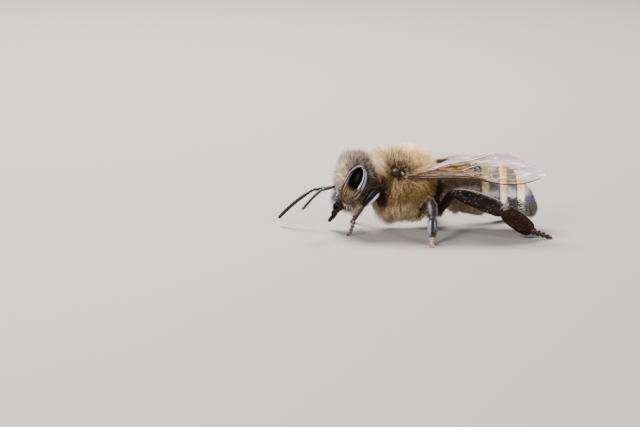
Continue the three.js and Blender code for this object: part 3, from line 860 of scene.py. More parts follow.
def thoraxMarks(points):
    # how far each place is darkened, in the gap behind the head as painted shade, and how golden it is, from
    # 0 to 1
    dark = sum(near(points, place, reach) * share for place, reach, share in darkMarksAndShade)
    # the golden rear top is partly painted backlight
    rear = smoothStep(-0.9, 0.3, points[:, 0]) * smoothStep(3.2, 3.9, points[:, 2])
    tuft = near(points, (-1.3, 1.8, 3.25), (0.45, 0.7, 0.45)) * 0.6
    return np.clip(dark, 0, 1), np.maximum(rear, tuft)


def makeThoraxSkin():
    waist, belly, ruff = (curveOf(thorax[key]) for key in ("waist", "belly", "ruff"))
    coat, centre = thorax["coat"], thorax["centre"]

    def move(points):
        along, wide, a, b = squareBall(points, thorax["squareness"])
        height = thorax["halfHeight"] * np.where(b > 0, ruff(along), belly(along))
        return np.stack([
            centre[0] + along * (thorax["halfLength"] - coat["ends"]),
            centre[1] + a * wide * (thorax["halfWidth"] * waist(along) - coat["side"]),
            centre[2] + b * wide * (height - np.where(b > 0, coat["top"], coat["bottom"]))], axis=-1)

    return shape(unitBall(64, 44), move)


def markSkin(piece, marks):
    # gives the skin the same markings as its coat
    dark, glow = marks(placesOf(piece))
    mark(piece, dark=dark, glow=glow)


thoraxSkin = makeThoraxSkin()
markSkin(thoraxSkin, thoraxMarks)
neck = limb((-2.95, 0, 2.95), (-2.1, 0, 2.95), thorax["neck"])
petiole = limb((1.0, 0, 2.6), (1.9, 0, 2.6), thorax["petiole"])
tegulae = {}
wingRoots = {}
for word, side in sides.items():
    place = sided(thorax["tegula"], side)
    tegulae[word] = ballOf((0.33, 0.27, 0.25), place, Matrix.Rotation(0.3, 3, "Y"), 28, 18)
    wingRoots[word] = joined([
        ballOf(radii, sided(place, side), None, 16, 12) for place, radii in thorax["knuckles"]])
print("thorax modelled")

# the abdomen
abdomen = {
    "front": 1.62, "back": 7.3, "axisHeight": 2.59, "tailDrop": 1.15, "halfHeight": 1.6, "halfWidth": 2.0,
    "rings": [0, 0.14, 0.405, 0.6, 0.79, 0.925, 1], "lap": 0.035, "steps": 9, "tuck": 0.05,
    "rise": (-0.03, 0.012),
    "girth": [(0, 0.3), (0.06, 0.62), (0.16, 0.87), (0.32, 0.99), (0.5, 1), (0.68, 0.95), (0.83, 0.79),
              (0.93, 0.57), (0.975, 0.4), (1, 0.22)],
    "coat": [(0, 0.14), (0.2, 0.1), (0.5, 0.065), (1, 0.06)],
    # how far back over each plate the cream felt reaches, and where it thins out down the flank
    "felt": {3: 0.26, 4: 0.27, 5: 0.5},
    "feltFoot": {3: (1.6, 1.1), 4: (2.35, 1.85), 5: (2.45, 2.0)},
}
felt = abdomen["felt"]
abdomenGirth = curveOf(abdomen["girth"])
abdomenCoat = curveOf(abdomen["coat"])


def plateShare(points, number):
    start, end = abdomen["rings"][number - 1], abdomen["rings"][number]
    share = (points[:, 0] - abdomen["front"]) / (abdomen["back"] - abdomen["front"])
    return (share - start) / (end - start)


def feltAbove(number, points):
    high, low = abdomen["feltFoot"][number]
    ragged = 0.12 * np.sin(points[:, 0] * 17) + 0.08 * np.sin(points[:, 0] * 41 + 1)
    return smoothStep(low, high, points[:, 2] + ragged)


def makePlate(number):
    # one ring, lapped under the ring before it, with a thin rolled rear edge
    start, end = abdomen["rings"][number - 1], abdomen["rings"][number]
    first, steps = max(0, start - abdomen["lap"]), abdomen["steps"]
    rows = []
    for i in range(steps + 1):
        share = lerp(first, end, i / steps)
        under = abdomen["tuck"] if share < start else 0.0
        lift = lerp(*abdomen["rise"], max(0, (share - start) / (end - start)))
        size = float(abdomenGirth(share)) * (1 - float(abdomenCoat(share)) + lift) - under
        fall = abdomen["tailDrop"] * (max(0, share - 0.55) / 0.45) ** 2
        x = lerp(abdomen["front"], abdomen["back"], share)
        high = abdomen["axisHeight"] - fall
        rows.append((x, size * abdomen["halfHeight"], size * abdomen["halfWidth"], high))
    x, tall, broad, high = rows[-1]
    if number == len(abdomen["rings"]) - 1:
        rows.append((x + 0.07, tall * 0.72, broad * 0.72, high - 0.02))
        rows.append((x + 0.1, tall * 0.3, broad * 0.3, high - 0.03))
    else:
        rows.append((x + 0.02, tall - 0.05, broad - 0.05, high))
    piece = turned(rows, 56, 1)
    piece.data.transform(Matrix(((0, 0, 1), (0, -1, 0), (1, 0, 0))).to_4x4())
    points = placesOf(piece)
    share = plateShare(points, number)
    edge = felt.get(number, -1) + 0.12 + 0.05 * np.sin(np.arctan2(points[:, 1], points[:, 2] - 2.6) * 23)
    above = feltAbove(number, points) if number in felt else 1
    mark(piece, share=share, felt=smoothStep(edge + 0.06, edge - 0.06, share) * (share > 0) * above)
    return piece


plates = [makePlate(number) for number in range(1, len(abdomen["rings"]))]
print("abdomen modelled")

# the legs: their joints on the right, how far further back the right one stands, the wide way of its parts,
# and the way and the girths of its foot
legs = {
    "front": {
        "coxa": (-1.85, 0.55, 2.0), "trochanter": (-1.85, 0.8, 1.35), "knee": (-2.39, 1.72, 2.86),
        "ankle": (-3.27, 1.92, 1.86), "heel": (-3.85, 1.96, 0.95), "toe": (-4.1, 1.93, 0.1), "shift": 0.22,
        "wide": (1, 0, 0), "ahead": (-1, 0, 0), "footGirth": (0.16, 0.13)},
    "middle": {
        "coxa": (0.0, 0.6, 1.8), "trochanter": (0.1, 0.95, 0.98), "knee": (0.78, 2.4, 2.28),
        "ankle": (0.88, 3.85, 1.5), "heel": (0.84, 4.28, 0.38), "toe": (0.8, 5.15, 0.1), "shift": -0.12,
        "wide": (1, 0, 0), "ahead": (0, 1, 0), "footGirth": (0.17, 0.13)},
    "hind": {
        "coxa": (0.85, 0.65, 1.9), "trochanter": (1.35, 1.2, 1.3), "knee": (2.12, 2.65, 2.84),
        "ankle": (5.2, 2.9, 1.74), "heel": (6.9, 2.92, 0.55), "toe": (8.03, 2.8, 0.1), "shift": -1.1,
        "wide": (0, 0, 1), "ahead": (1, 0, 0), "footGirth": (0.24, 0.17)},
}
# share of the length, half width and half depth
legForms = {
    "coxa": [(-0.1, 0.16), (0.1, 0.3, 0.28), (0.5, 0.33, 0.3), (0.85, 0.25, 0.23), (1.08, 0.16)],
    "coxa_hind": [(-0.2, 0.3), (0.1, 0.46, 0.42), (0.5, 0.46, 0.42), (0.85, 0.32, 0.3), (1.08, 0.2)],
    "femur": [(-0.04, 0.1), (0.04, 0.18, 0.16), (0.13, 0.15, 0.14), (0.2, 0.19, 0.17), (0.5, 0.23, 0.19),
              (0.85, 0.19, 0.16), (0.97, 0.15, 0.13), (1.03, 0.08)],
    "femur_hind": [(-0.04, 0.12, 0.1), (0.04, 0.2, 0.18), (0.13, 0.17, 0.16), (0.2, 0.24, 0.2),
                   (0.5, 0.34, 0.24), (0.85, 0.26, 0.2), (0.97, 0.2, 0.16), (1.03, 0.1)],
    "tibia_front": [(-0.06, 0.14, 0.12), (0.02, 0.26, 0.2), (0.14, 0.32, 0.24), (0.45, 0.32, 0.24),
                    (0.8, 0.25, 0.2), (0.96, 0.16, 0.14), (1.03, 0.09)],
    "tibia_middle": [(-0.05, 0.12, 0.1), (0.03, 0.24, 0.18), (0.15, 0.31, 0.2), (0.45, 0.355, 0.23),
                     (0.78, 0.31, 0.21), (0.96, 0.19, 0.15), (1.02, 0.1, 0.08)],
    "tibia_hind": [(-0.03, 0.12, 0.09), (0.02, 0.24, 0.14), (0.1, 0.34, 0.17), (0.3, 0.46, 0.2),
                   (0.6, 0.51, 0.22), (0.88, 0.52, 0.21), (0.98, 0.42, 0.16), (1.02, 0.24, 0.1)],
    "basitarsus": [(-0.04, 0.05), (0.03, 0.1, 0.09), (0.3, 0.105, 0.09), (0.8, 0.09, 0.08),
                   (0.97, 0.085, 0.07), (1.02, 0.05)],
    "basitarsus_middle": [(-0.04, 0.1, 0.08), (0.04, 0.24, 0.14), (0.25, 0.31, 0.17), (0.7, 0.3, 0.16),
                          (0.94, 0.19, 0.12), (1.01, 0.09, 0.08)],
    "basitarsus_hind": [(-0.02, 0.24, 0.08), (0.04, 0.42, 0.12), (0.25, 0.56, 0.16), (0.6, 0.57, 0.16),
                        (0.88, 0.52, 0.14), (1.01, 0.4, 0.11), (1.07, 0.2, 0.07)],
}
hindTibiaArch = 0.09
limbEnds = {"coxa": ("coxa", "trochanter"), "femur": ("trochanter", "knee"), "tibia": ("knee", "ankle"),
            "basitarsus": ("ankle", "heel"), "tarsus": ("heel", "toe")}
# share, and half width and depth in shares of the foot's girth or of the claw's
footJoint = [(-0.05, 0.03), (0.06, 0.62, 0.5), (0.5, 0.9, 0.72), (0.86, 1.1, 0.85), (0.97, 0.75, 0.6)]
claw = {"long": 0.2, "spread": 0.12, "girth": 0.045,
        "root": [(-0.15, 0.5), (0.1, 1), (0.9, 0.85), (1, 0.5)],
        "tip": [(-0.15, 0.4), (0, 0.8), (0.6, 0.5), (1, 0.15)]}


def legForm(part, kind):
    return legForms[f"{part}_{kind}" if f"{part}_{kind}" in legForms else part]


def makeFoot(heel, toe, wide, ahead, girths):
    # small foot joints, each flared at its end, then two claws and the pad between them
    heel, toe, ahead = Vector(heel), Vector(toe), Vector(ahead)
    pieces = []
    joints = 4
    for i in range(joints):
        flare = lerp(*girths, i / (joints - 1))
        flared = [(share, flare * broad, flare * deep) for share, broad, deep in footJoint[1:]]
        start, end = heel.lerp(toe, i / joints), heel.lerp(toe, (i + 1) / joints)
        pieces.append(limb(start, end, footJoint[:1] + flared, wide, 12))
    aside = Vector((0, 0, 1)).cross(ahead)
    for way in (left, right):
        root = toe + Vector((0, 0, 0.01)) + aside * way * 0.03
        middle = root + ahead * claw["long"] * 0.7 + aside * way * claw["spread"]
        tip = root + ahead * claw["long"] + aside * way * claw["spread"] * 1.3
        tip.z = 0.012
        for start, end, name, broad in ((root, middle, "root", (0, 0, 1)), (middle, tip, "tip", (1, 0, 0))):
            rows = [(share, part * claw["girth"]) for share, part in claw[name]]
            pieces.append(limb(start, end, rows, broad, 10))
    sole = toe + Vector((0, 0, -0.045)) + ahead * 0.09
    pieces.append(ballOf((0.11, 0.1, 0.05), sole, None, 16, 10))
    return joined(pieces)


def stripOf(kind, part, start, end, side):
    # the painted pale reflection along the rear edge of the front shin, the painted highlight on the middle
    # one, the brown end of the hind one
    start, way = np.array(start), np.array(end) - np.array(start)
    edges = {"front": (0.66, 0.5, -0.52), "hind": (0, 0, 1),
             "middle": (-0.35, 0.9, 0.3) if part == "tibia" else (-0.95, 0.3, 0.1)}
    edge = np.array(sided(edges[kind], side))

    def strip(points):
        share = (points - start) @ way / (way @ way)
        if kind == "hind":
            return smoothStep(0.65, 1.0, share) * (part == "tibia")
        offset = points - start - share[:, None] * way
        along = smoothStep(0.05, 0.3, share) * smoothStep(1.0, 0.75, share)
        narrow = (0.87, 0.96) if kind == "front" else (0.6, 1.0)
        return smoothStep(*narrow, unit(offset) @ unit(edge)) * along * (part in ("tibia", "basitarsus"))

    return strip


def archUp(piece, start, end, height):
    start, way = np.array(start), np.array(end) - np.array(start)

    def move(points):
        share = np.clip((points - start) @ way / (way @ way), 0, 1)
        points[:, 2] += 4 * height * share * (1 - share)
        return points

    shape(piece, move)


def makeLeg(kind, word):
    leg, side = legs[kind], sides[word]
    shift = leg["shift"] if side == right else 0
    shares = {"coxa": 0, "trochanter": 0.15, "knee": 0.5, "ankle": 0.8, "heel": 1, "toe": 1}
    at = {name: sided(leg[name], side, shift * share) for name, share in shares.items()}
    made = {}
    for part in ("coxa", "femur", "tibia", "basitarsus"):
        start, end = (at[name] for name in limbEnds[part])
        made[part] = limb(start, end, legForm(part, kind), leg["wide"], 20)
        mark(made[part], strip=stripOf(kind, part, start, end, side)(placesOf(made[part])))
    if kind == "hind":
        rows = [(row[0], 0.022, 0.022, row[1] - 0.004) for row in legForm("tibia", kind)[1:-1]]
        made["rim"] = limb(at["knee"], at["ankle"], rows, leg["wide"], 8)
        for part in ("tibia", "rim"):
            archUp(made[part], at["knee"], at["ankle"], hindTibiaArch)
    ahead = sided(leg["ahead"], side)
    made["tarsus"] = makeFoot(at["heel"], at["toe"], leg["wide"], ahead, leg["footGirth"])
    return made, at


legPieces = {}
legJoints = {}
for word in sides:
    for kind in legs:
        legPieces[kind, word], legJoints[kind, word] = makeLeg(kind, word)
print("legs modelled")

# the wings: their edges and veins as shares of the span, and millimetres towards the midline
roofSlope = math.radians(30)
hindBelow = -0.07
wings = {
    "left": {"root": (-0.58, -2.08, 3.62), "tip": (7.82, -2.25, 3.8)},
    "right": {"root": (-0.58, 2.08, 3.62), "tip": (7.5, 2.1, 3.52)},
}
wingEdges = {
    "foreLead": [(0, 0), (0.06, -0.1), (0.27, -0.14), (0.45, -0.26), (0.6, -0.56), (0.74, -0.76),
                 (0.88, -0.56), (0.97, -0.2), (1, 0.1)],
    "foreTrail": [(0, 0.2), (0.1, 0.5), (0.22, 0.9), (0.35, 1.3), (0.48, 1.6), (0.6, 2.0), (0.7, 2.17),
                  (0.79, 1.84), (0.88, 1.15), (0.95, 0.52), (1, 0.1)],
    "hindLead": [(0.06, 0.3), (0.2, 0.45), (0.4, 0.7), (0.6, 1.3), (0.7, 1.9)],
    "hindTrail": [(0.06, 0.5), (0.14, 0.85), (0.24, 1.35), (0.33, 1.86), (0.43, 2.06), (0.54, 2.18),
                  (0.64, 2.18), (0.7, 1.95)],
}
# each vein: half width, then its course
wingLines = {
    "foreEdge": [
        (0.08, [(0.0, 0.05), (0.08, -0.06), (0.27, -0.1), (0.45, -0.22), (0.58, -0.5)]),
        (0.06, [(0.0, 0.16), (0.1, 0.12), (0.27, 0.11), (0.45, -0.04), (0.57, -0.4)]),
        (0.04, [(0.57, -0.46), (0.7, -0.74), (0.82, -0.7), (0.9, -0.5), (0.97, -0.18)])],
    "foreVeins": [
        (0.0277, [(0.57, -0.42), (0.61, -0.25), (0.68, -0.3), (0.8, -0.38), (0.87, -0.48), (0.91, -0.42)]),
        (0.0363, [(0.01, 0.2), (0.12, 0.36), (0.25, 0.52), (0.34, 0.58), (0.4, 0.6)]),
        (0.033, [(0.01, 0.26), (0.14, 0.56), (0.28, 0.92), (0.4, 1.22), (0.5, 1.5), (0.58, 1.72)]),
        (0.0264, [(0.4, 0.6), (0.44, 0.35), (0.47, 0.05), (0.49, -0.2)]),
        (0.0264, [(0.44, 0.34), (0.52, 0.3), (0.6, 0.22), (0.68, 0.25)]),
        (0.0251, [(0.6, 0.22), (0.61, -0.02), (0.61, -0.24)]),
        (0.0251, [(0.68, 0.25), (0.7, 0.0), (0.69, -0.28)]),
        (0.0251, [(0.68, 0.25), (0.76, 0.15), (0.82, -0.05), (0.84, -0.42)]),
        (0.0251, [(0.4, 0.6), (0.46, 0.82), (0.52, 0.95), (0.6, 0.9), (0.68, 0.8), (0.76, 0.85)]),
        (0.0224, [(0.52, 0.95), (0.51, 1.2), (0.49, 1.46)]),
        (0.0224, [(0.68, 0.25), (0.69, 0.5), (0.68, 0.8)]),
        (0.0198, [(0.76, 0.15), (0.8, 0.5), (0.82, 0.85)]),
        (0.0198, [(0.34, 0.58), (0.33, 0.8), (0.31, 0.98)]),
        (0.0198, [(0.03, 0.24), (0.12, 0.62), (0.22, 0.88), (0.33, 1.24), (0.46, 1.56)])],
    "hindVeins": [
        (0.0231, [(0.07, 0.36), (0.2, 0.6), (0.36, 0.9), (0.5, 1.24), (0.6, 1.6)]),
        (0.0185, [(0.08, 0.44), (0.2, 0.9), (0.32, 1.34), (0.44, 1.72), (0.54, 2.0)]),
        (0.0158, [(0.36, 0.9), (0.37, 1.2), (0.36, 1.46)]),
        (0.0158, [(0.09, 0.5), (0.18, 1.0), (0.28, 1.5)])],
    "foreMargin": [(0.036, wingEdges["foreTrail"]), (0.022, wingEdges["foreLead"][6:])],
    "hindMargin": [(0.018, wingEdges["hindTrail"])],
}


def onWing(word, share, inwards, lift):
    # a place on the wing, on its shallow arch and the pleats that its veins hold
    root, tip = (np.array(wings[word][key]) for key in ("root", "tip"))
    span = float(np.linalg.norm(tip - root))
    along = unit(tip - root)
    inward = np.array([0, -sides[word] * math.cos(roofSlope), math.sin(roofSlope)])
    inward = unit(inward - along * (inward @ along))
    top = np.cross(along, inward) * -sides[word]
    arch = np.sin(np.clip(share, 0, 1) * math.pi)
    pleats = 0.035 * np.cos(inwards * 5.5 + share * 2) * arch
    high = lift + (pleats + 0.05 * arch)
    return root + along * share[:, None] * span + inward * inwards[:, None] + top * high[:, None]


def makeMembrane(word, kind, lift, columns, rows):
    activate()
    bpy.ops.mesh.primitive_grid_add(x_subdivisions=columns, y_subdivisions=rows, size=1)
    piece = bpy.context.object
    lead, trail = wingEdges[kind + "Lead"], wingEdges[kind + "Trail"]
    points = placesOf(piece)
    share, across = lerp(lead[0][0], lead[-1][0], points[:, 0] + 0.5), points[:, 1] + 0.5
    mark(piece, out=share, inwards=across)
    inwards = lerp(curveOf(lead)(share), curveOf(trail)(share), across)
    shape(piece, lambda points: onWing(word, share, inwards, lift))
    addModifier(piece, "SOLIDIFY", thickness=0.018, offset=0)
    return piece


def makeVeins(word, name):
    # round wires that stand a little out of the membrane on both faces
    curve = bpy.data.curves.new("veins", "CURVE")
    curve.dimensions = "3D"
    curve.bevel_depth = 1
    curve.bevel_resolution = 2
    curve.use_fill_caps = True
    for width, course in wingLines[name]:
        steps = np.linspace(0, 1, len(course))
        shares = np.linspace(0, 1, 4 * len(course))
        out, inwards = (curveOf(list(zip(steps, values)))(shares) for values in zip(*course))
        points = onWing(word, out, inwards, hindBelow if name.startswith("hind") else 0.0)
        spline = curve.splines.new("POLY")
        spline.points.add(len(points) - 1)
        for i, point in enumerate(points):
            spline.points[i].co = (*point, 1)
            spline.points[i].radius = width * lerp(1, 0.7, i / len(points))
    wires = bpy.data.objects.new("veins", curve)
    bpy.context.collection.objects.link(wires)
    activate(wires)
    bpy.ops.object.convert(target="MESH")
    return bpy.context.object


wingPieces = {}
for word in sides:
    wingPieces[word] = {"foreMembrane": makeMembrane(word, "fore", 0.0, 72, 18),
                        "hindMembrane": makeMembrane(word, "hind", hindBelow, 48, 14)}
    for name in ("foreEdge", "foreVeins", "hindVeins", "foreMargin", "hindMargin"):
        wingPieces[word][name] = makeVeins(word, name)
print("wings modelled")


# hair
hairSides = 3
hairSink = 0.02
hairScale = 1.0
mapPatch = 0.003
grown = {"hairs": 0}


def trianglesOf(piece, places):
    # the faces as triangles, ordered by their places, because a mesh's own order changes from run to run
    rank = np.empty(len(places), int)
    rank[np.lexsort(np.round(places, 4).T)] = np.arange(len(places))
    triangles = []
    for face in piece.data.polygons:
        ring = np.array(face.vertices)
        ring = np.roll(ring, -np.argmin(rank[ring]))
        triangles += [(ring[0], ring[i], ring[i + 1]) for i in range(1, len(ring) - 1)]
    triangles = np.array(triangles)
    return triangles[np.lexsort(rank[triangles].T)]


def sampleSkin(piece, count, seed, keep=None):
    # places and normals spread evenly over a piece, thinned by keep, which gives shares from 0 to 1
    rng = np.random.default_rng(seed)
    places = placesOf(piece)
    corners = trianglesOf(piece, places)
    normals = np.empty(len(places) * 3)
    piece.data.vertex_normals.foreach_get("vector", normals)
    normals = normals.reshape(-1, 3)
    a, b, c = (places[corners[:, i]] for i in range(3))
    area = np.linalg.norm(np.cross(b - a, c - a), axis=1)
    if keep is not None:
        area = area * keep((a + b + c) / 3)
    tri = corners[rng.choice(len(area), count, p=area / area.sum())]
    u, v = rng.random(count), rng.random(count)
    over = u + v > 1
    u[over], v[over] = 1 - u[over], 1 - v[over]
    weights = np.stack([1 - u - v, u, v], axis=1)[:, :, None]
    return (places[tri] * weights).sum(axis=1), unit((normals[tri] * weights).sum(axis=1)), rng


def gatherLocks(roots, tips, hairsPerLock, rng):
    # the nearest of some roots picked at random is each hair's lock, and its hairs lean to the same tip
    count = max(1, len(roots) // hairsPerLock)
    centres = roots[rng.choice(len(roots), count, replace=False)]
    tree = kdtree.KDTree(count)
    for i, centre in enumerate(centres):
        tree.insert(centre, i)
    tree.balance()
    lock = np.array([tree.find(root)[1] for root in roots])
    size = np.maximum(np.bincount(lock, minlength=count), 1)[:, None]
    total = np.stack([np.bincount(lock, tips[:, i], minlength=count) for i in range(3)], axis=1)
    return (total / size)[lock] - tips, rng.random(count)[lock]


def growHairs(roots, normals, lie, rng, length, width, lift, bend, wander, rings=2, uneven=(0.72, 1.06),
              locks=(), tones=(0, 1)):
    # the rings of points and the shades of three-sided tapered hairs that lie towards lie and rise by lift
    count = len(roots)
    lie = lie - normals * (lie * normals).sum(axis=1, keepdims=True)
    lie = lie / np.maximum(np.linalg.norm(lie, axis=1, keepdims=True), 0.6)
    length = np.broadcast_to(length, count) * rng.uniform(*uneven, count)
    lift = np.broadcast_to(lift, count)[:, None]
    start = unit(normals * lift + lie * (1 - lift) + rng.normal(0, wander, roots.shape))
    end = unit(start + lie * bend + rng.normal(0, wander * 0.6, roots.shape))
    roots = roots - normals * hairSink
    tips = roots + (start + end) * 0.5 * length[:, None]
    tone = rng.random(count) * 0.4
    gather = 0
    for hairsPerLock, pull, shade in locks:
        lean, lockTone = gatherLocks(roots, tips, hairsPerLock, rng)
        gather = gather + lean * pull
        tone = tone + lockTone * shade
    across = unit(np.cross(start, rng.normal(size=roots.shape)))
    other = np.cross(start, across)
    width = width * rng.uniform(0.7, 1.2, count)
    places = np.empty((count, rings * hairSides + 1, 3))
    for k in range(rings):
        t = k / rings
        centre = roots + length[:, None] * (start * t + (end - start) * 0.5 * t * t) + gather * t * t
        girth = (width * (1 - t) ** 0.7)[:, None]
        for j in range(hairSides):
            angle = 2 * math.pi * j / hairSides
            out = across * math.cos(angle) + other * math.sin(angle)
            places[:, k * hairSides + j] = centre + girth * out
    places[:, -1] = tips + gather
    return places, lerp(*tones, np.clip(tone, 0, 1.1))


def hairFaces(rings):
    # the faces of one hair: its foot, its sides and its point
    turns = [(j, (j + 1) % hairSides) for j in range(hairSides)]
    faces = [(0, 2, 1)]
    for low in range(0, (rings - 1) * hairSides, hairSides):
        faces += [(low + a, low + b, low + b + hairSides, low + a + hairSides) for a, b in turns]
    top = (rings - 1) * hairSides
    return faces + [(top + a, top + b, rings * hairSides) for a, b in turns]


def hairMesh(places, shades, corners):
    # joins hairs into one mesh, each with its own small patch of the coat's map at its root
    count, perHair, _ = places.shape
    rings = perHair // hairSides
    faces = hairFaces(rings)
    sizes = np.tile([len(face) for face in faces], count)
    loops = np.concatenate([np.array(face) for face in faces])
    loops = (loops[None] + np.arange(count)[:, None] * perHair).ravel()
    mesh = bpy.data.meshes.new("hairs")
    mesh.vertices.add(count * perHair)
    mesh.vertices.foreach_set("co", places.ravel())
    mesh.loops.add(len(loops))
    mesh.loops.foreach_set("vertex_index", loops)
    mesh.polygons.add(len(sizes))
    mesh.polygons.foreach_set("loop_start", np.concatenate([[0], np.cumsum(sizes)[:-1]]))
    mesh.polygons.foreach_set("loop_total", sizes)
    mesh.update(calc_edges=True)
    piece = bpy.data.objects.new("hairs", mesh)
    bpy.context.collection.objects.link(piece)
    along = np.arange(perHair) // hairSides / rings
    mark(piece, along=np.tile(along, count))
    mark(piece, **{label: np.repeat(values, perHair) for label, values in shades.items()})
    spread = np.stack([(np.arange(perHair) % hairSides) / 2, along], axis=1) * mapPatch
    corner = corners[:, None] * (1 - mapPatch) + spread[None]
    layer = mesh.uv_layers.new(name="OFBake")
    layer.data.foreach_set("uv", corner.reshape(-1, 2)[loops].ravel())
    grown["hairs"] += count
    return piece


def unwrapRound(centre, axis, low, high):
    # an unwrap of a roundish skin: the turn about its axis, and the way along it
    axis = unit(np.array(axis, float))
    east = unit(np.cross(axis, (0.0, 1.0, 0.001)))
    north = np.cross(axis, east)

    def at(points):
        offset = points - np.array(centre)
        turn = np.arctan2(offset @ north, offset @ east) / (2 * math.pi) + 0.5
        return np.clip(np.stack([turn, (offset @ axis - low) / (high - low)], axis=1), 0, 1)

    return at


def coat(name, skin, count, seed, lie, form, place, keep=None, parts=1, marks=None):
    # the hairs of one skin, shared out over a few pieces by their turn round it
    unwrap, material, slot, node = place
    roots, normals, rng = sampleSkin(skin, int(count * hairScale), seed, keep)
    form = {key: value(roots, normals) if callable(value) else value for key, value in form.items()}
    way = lie(roots, normals) if callable(lie) else np.array(lie, float)
    places, tone = growHairs(roots, normals, np.broadcast_to(way, roots.shape), rng, **form)
    shades = {"tone": tone}
    if marks:
        shades["dark"], shades["glow"] = marks(roots)
    corners = unwrap(roots)
    for part, chosen in enumerate(np.array_split(np.argsort(corners[:, 0]), parts), start=1):
        chosenShades = {label: values[chosen] for label, values in shades.items()}
        piece = hairMesh(places[chosen], chosenShades, corners[chosen])
        finishPiece(piece, f"{name}_{part}" if parts > 1 else name, material, slot, node, angle=None)


def thoraxLie(roots, normals):
    # combed back over the top and down the sides, where it fans out from below the wing
    away = unit(roots - np.array([-0.75, 0, 3.5]))
    up = np.maximum(normals[:, 2:3], 0)
    down = np.array([0, 0, -1.0])
    return away * 1.1 * (1 - up) + np.array([0.35, 0, 0]) * up + down * (1 - up) * 0.7


def thoraxLift(roots, normals):
    ends = smoothStep(0.3, 0.9, np.abs(normals[:, 0]))
    return 0.4 + 0.5 * smoothStep(0.1, 0.8, normals[:, 2]) + 0.12 * ends


def thoraxLength(roots, normals):
    ahead, aside, up = (normals**2).T
    breast = smoothStep(-1.3, -2.0, roots[:, 0]) * smoothStep(2.5, 1.5, roots[:, 2])
    return 0.1 + 0.6 * ahead + 0.86 * aside + np.where(normals[:, 2] > 0, 1.12, 0.86) * up + 0.75 * breast


def thoraxGrowth(points):
    # thin round the wing scale, in the gap behind the head and on the bare patch of the side
    gap = np.minimum(*(np.linalg.norm(points - np.array(sided((-1.1, 1.75, 3.85), side)), axis=1)
                       for side in sides.values()))
    dark = near(points, (-2.0, 1.5, 3.1), (0.65, 0.9, 0.7))
    return (smoothStep(0.25, 0.5, gap) + 0.03) * (1 - 0.7 * dark) * (1 - 0.5 * near(points, *bareSpot))


def onCollar(points):
    # the long ruff round the front of the thorax, thickest above the neck
    ahead = smoothStep(-1.2, -1.9, points[:, 0])
    return ahead * smoothStep(2.9, 3.5, points[:, 2]) + 1e-9


def collarLength(roots, normals):
    return 0.75 + 0.55 * smoothStep(3.0, 3.7, roots[:, 2]) + 0.3 * smoothStep(3.8, 4.3, roots[:, 2])


def collarMarks(points):
    # the ruff stays pale above the painted shade in the gap behind the head
    dark, glow = thoraxMarks(points)
    return dark * smoothStep(3.4, 3.0, points[:, 2]), glow


def onBreast(points):
    # fur that hangs forward between the front legs
    ahead = smoothStep(-1.3, -1.8, points[:, 0])
    return ahead * smoothStep(2.9, 2.4, points[:, 2]) * smoothStep(1.1, 1.5, points[:, 2]) + 1e-9


def atWingBase(points):
    return near(points, (-0.35, 1.75, 3.9), (0.5, 0.35, 0.3)) + 1e-9


onThorax = (unwrapRound(thorax["centre"], (1, 0, 0), -2.2, 2.2), coats["thorax"], "thorax_fur", "thorax")
coat("thoraxUnder", thoraxSkin, 12000, 10, thoraxLie,
     dict(length=lambda roots, normals: 0.55 * thoraxLength(roots, normals), width=0.017, lift=thoraxLift,
          bend=0.45, wander=0.22, locks=[(8, 0.4, 0.6)], tones=(0, 0.6)),
     onThorax, thoraxGrowth, marks=thoraxMarks)
coat("thoraxCoat", thoraxSkin, 14000, 11, thoraxLie,
     dict(length=thoraxLength, width=0.019, lift=thoraxLift, bend=0.5, wander=0.16, rings=3,
          uneven=(0.55, 1.12), locks=[(12, 0.55, 0.55), (90, 0.1, 0.15)], tones=(0.1, 1.15)),
     onThorax, thoraxGrowth, parts=2, marks=thoraxMarks)
coat("collarCoat", thoraxSkin, 4200, 13, (-1.1, 0, 1.1),
     dict(length=collarLength, width=0.018, lift=0.5, bend=0.3, wander=0.16, rings=3, uneven=(0.6, 1.06),
          locks=[(9, 0.5, 0.45), (90, 0.1, 0.15)]),
     onThorax, onCollar, marks=collarMarks)
coat("breastCoat", thoraxSkin, 1800, 17, (-1, 0, -0.5),
     dict(length=1.0, width=0.018, lift=0.45, bend=0.5, wander=0.18, rings=3, uneven=(0.5, 1.1),
          locks=[(9, 0.5, 0.45)], tones=(0.2, 1.1)),
     onThorax, onBreast, marks=thoraxMarks)
coat("wingBaseTuft", thoraxSkin, 500, 16, (0.8, 0, 0.5),
     dict(length=0.75, width=0.018, lift=0.55, bend=0.4, wander=0.18, rings=3, locks=[(7, 0.5, 0.4)],
          tones=(0.4, 1.2)),
     onThorax, atWingBase, marks=lambda points: (np.zeros(len(points)), np.ones(len(points))))


def headLength(roots, normals):
    f, s, h = toHead(roots)
    crown = smoothStep(-0.3, 0.9, h)
    beard = smoothStep(-0.7, -1.5, h) * smoothStep(0.5, -0.2, f)
    face = smoothStep(0.3, 0.8, f) * smoothStep(-0.9, -0.3, h) * smoothStep(1.2, 0.5, h)
    nape = smoothStep(0.0, -0.6, f) * (1 + smoothStep(0.6, 1.1, h))
    return 0.26 + 0.6 * crown + 0.26 * beard + 0.42 * nape + 0.2 * face


def headLift(roots, normals):
    f, s, h = toHead(roots)
    return 0.5 + 0.38 * smoothStep(0.0, 0.8, h) + 0.12 * smoothStep(0.2, 0.8, f) * smoothStep(0.6, 0.0, h)


def headLie(roots, normals):
    f, s, h = toHead(roots)
    down = smoothStep(0.6, -0.4, h)[:, None]
    back = smoothStep(0.2, -0.5, f)[:, None]
    ahead = (0.3 - 1.3 * back) * (1 - down) - 0.7 * back * down
    return headForward * ahead + headUp * (0.6 * (1 - down) - down) * (1 - 0.6 * back)


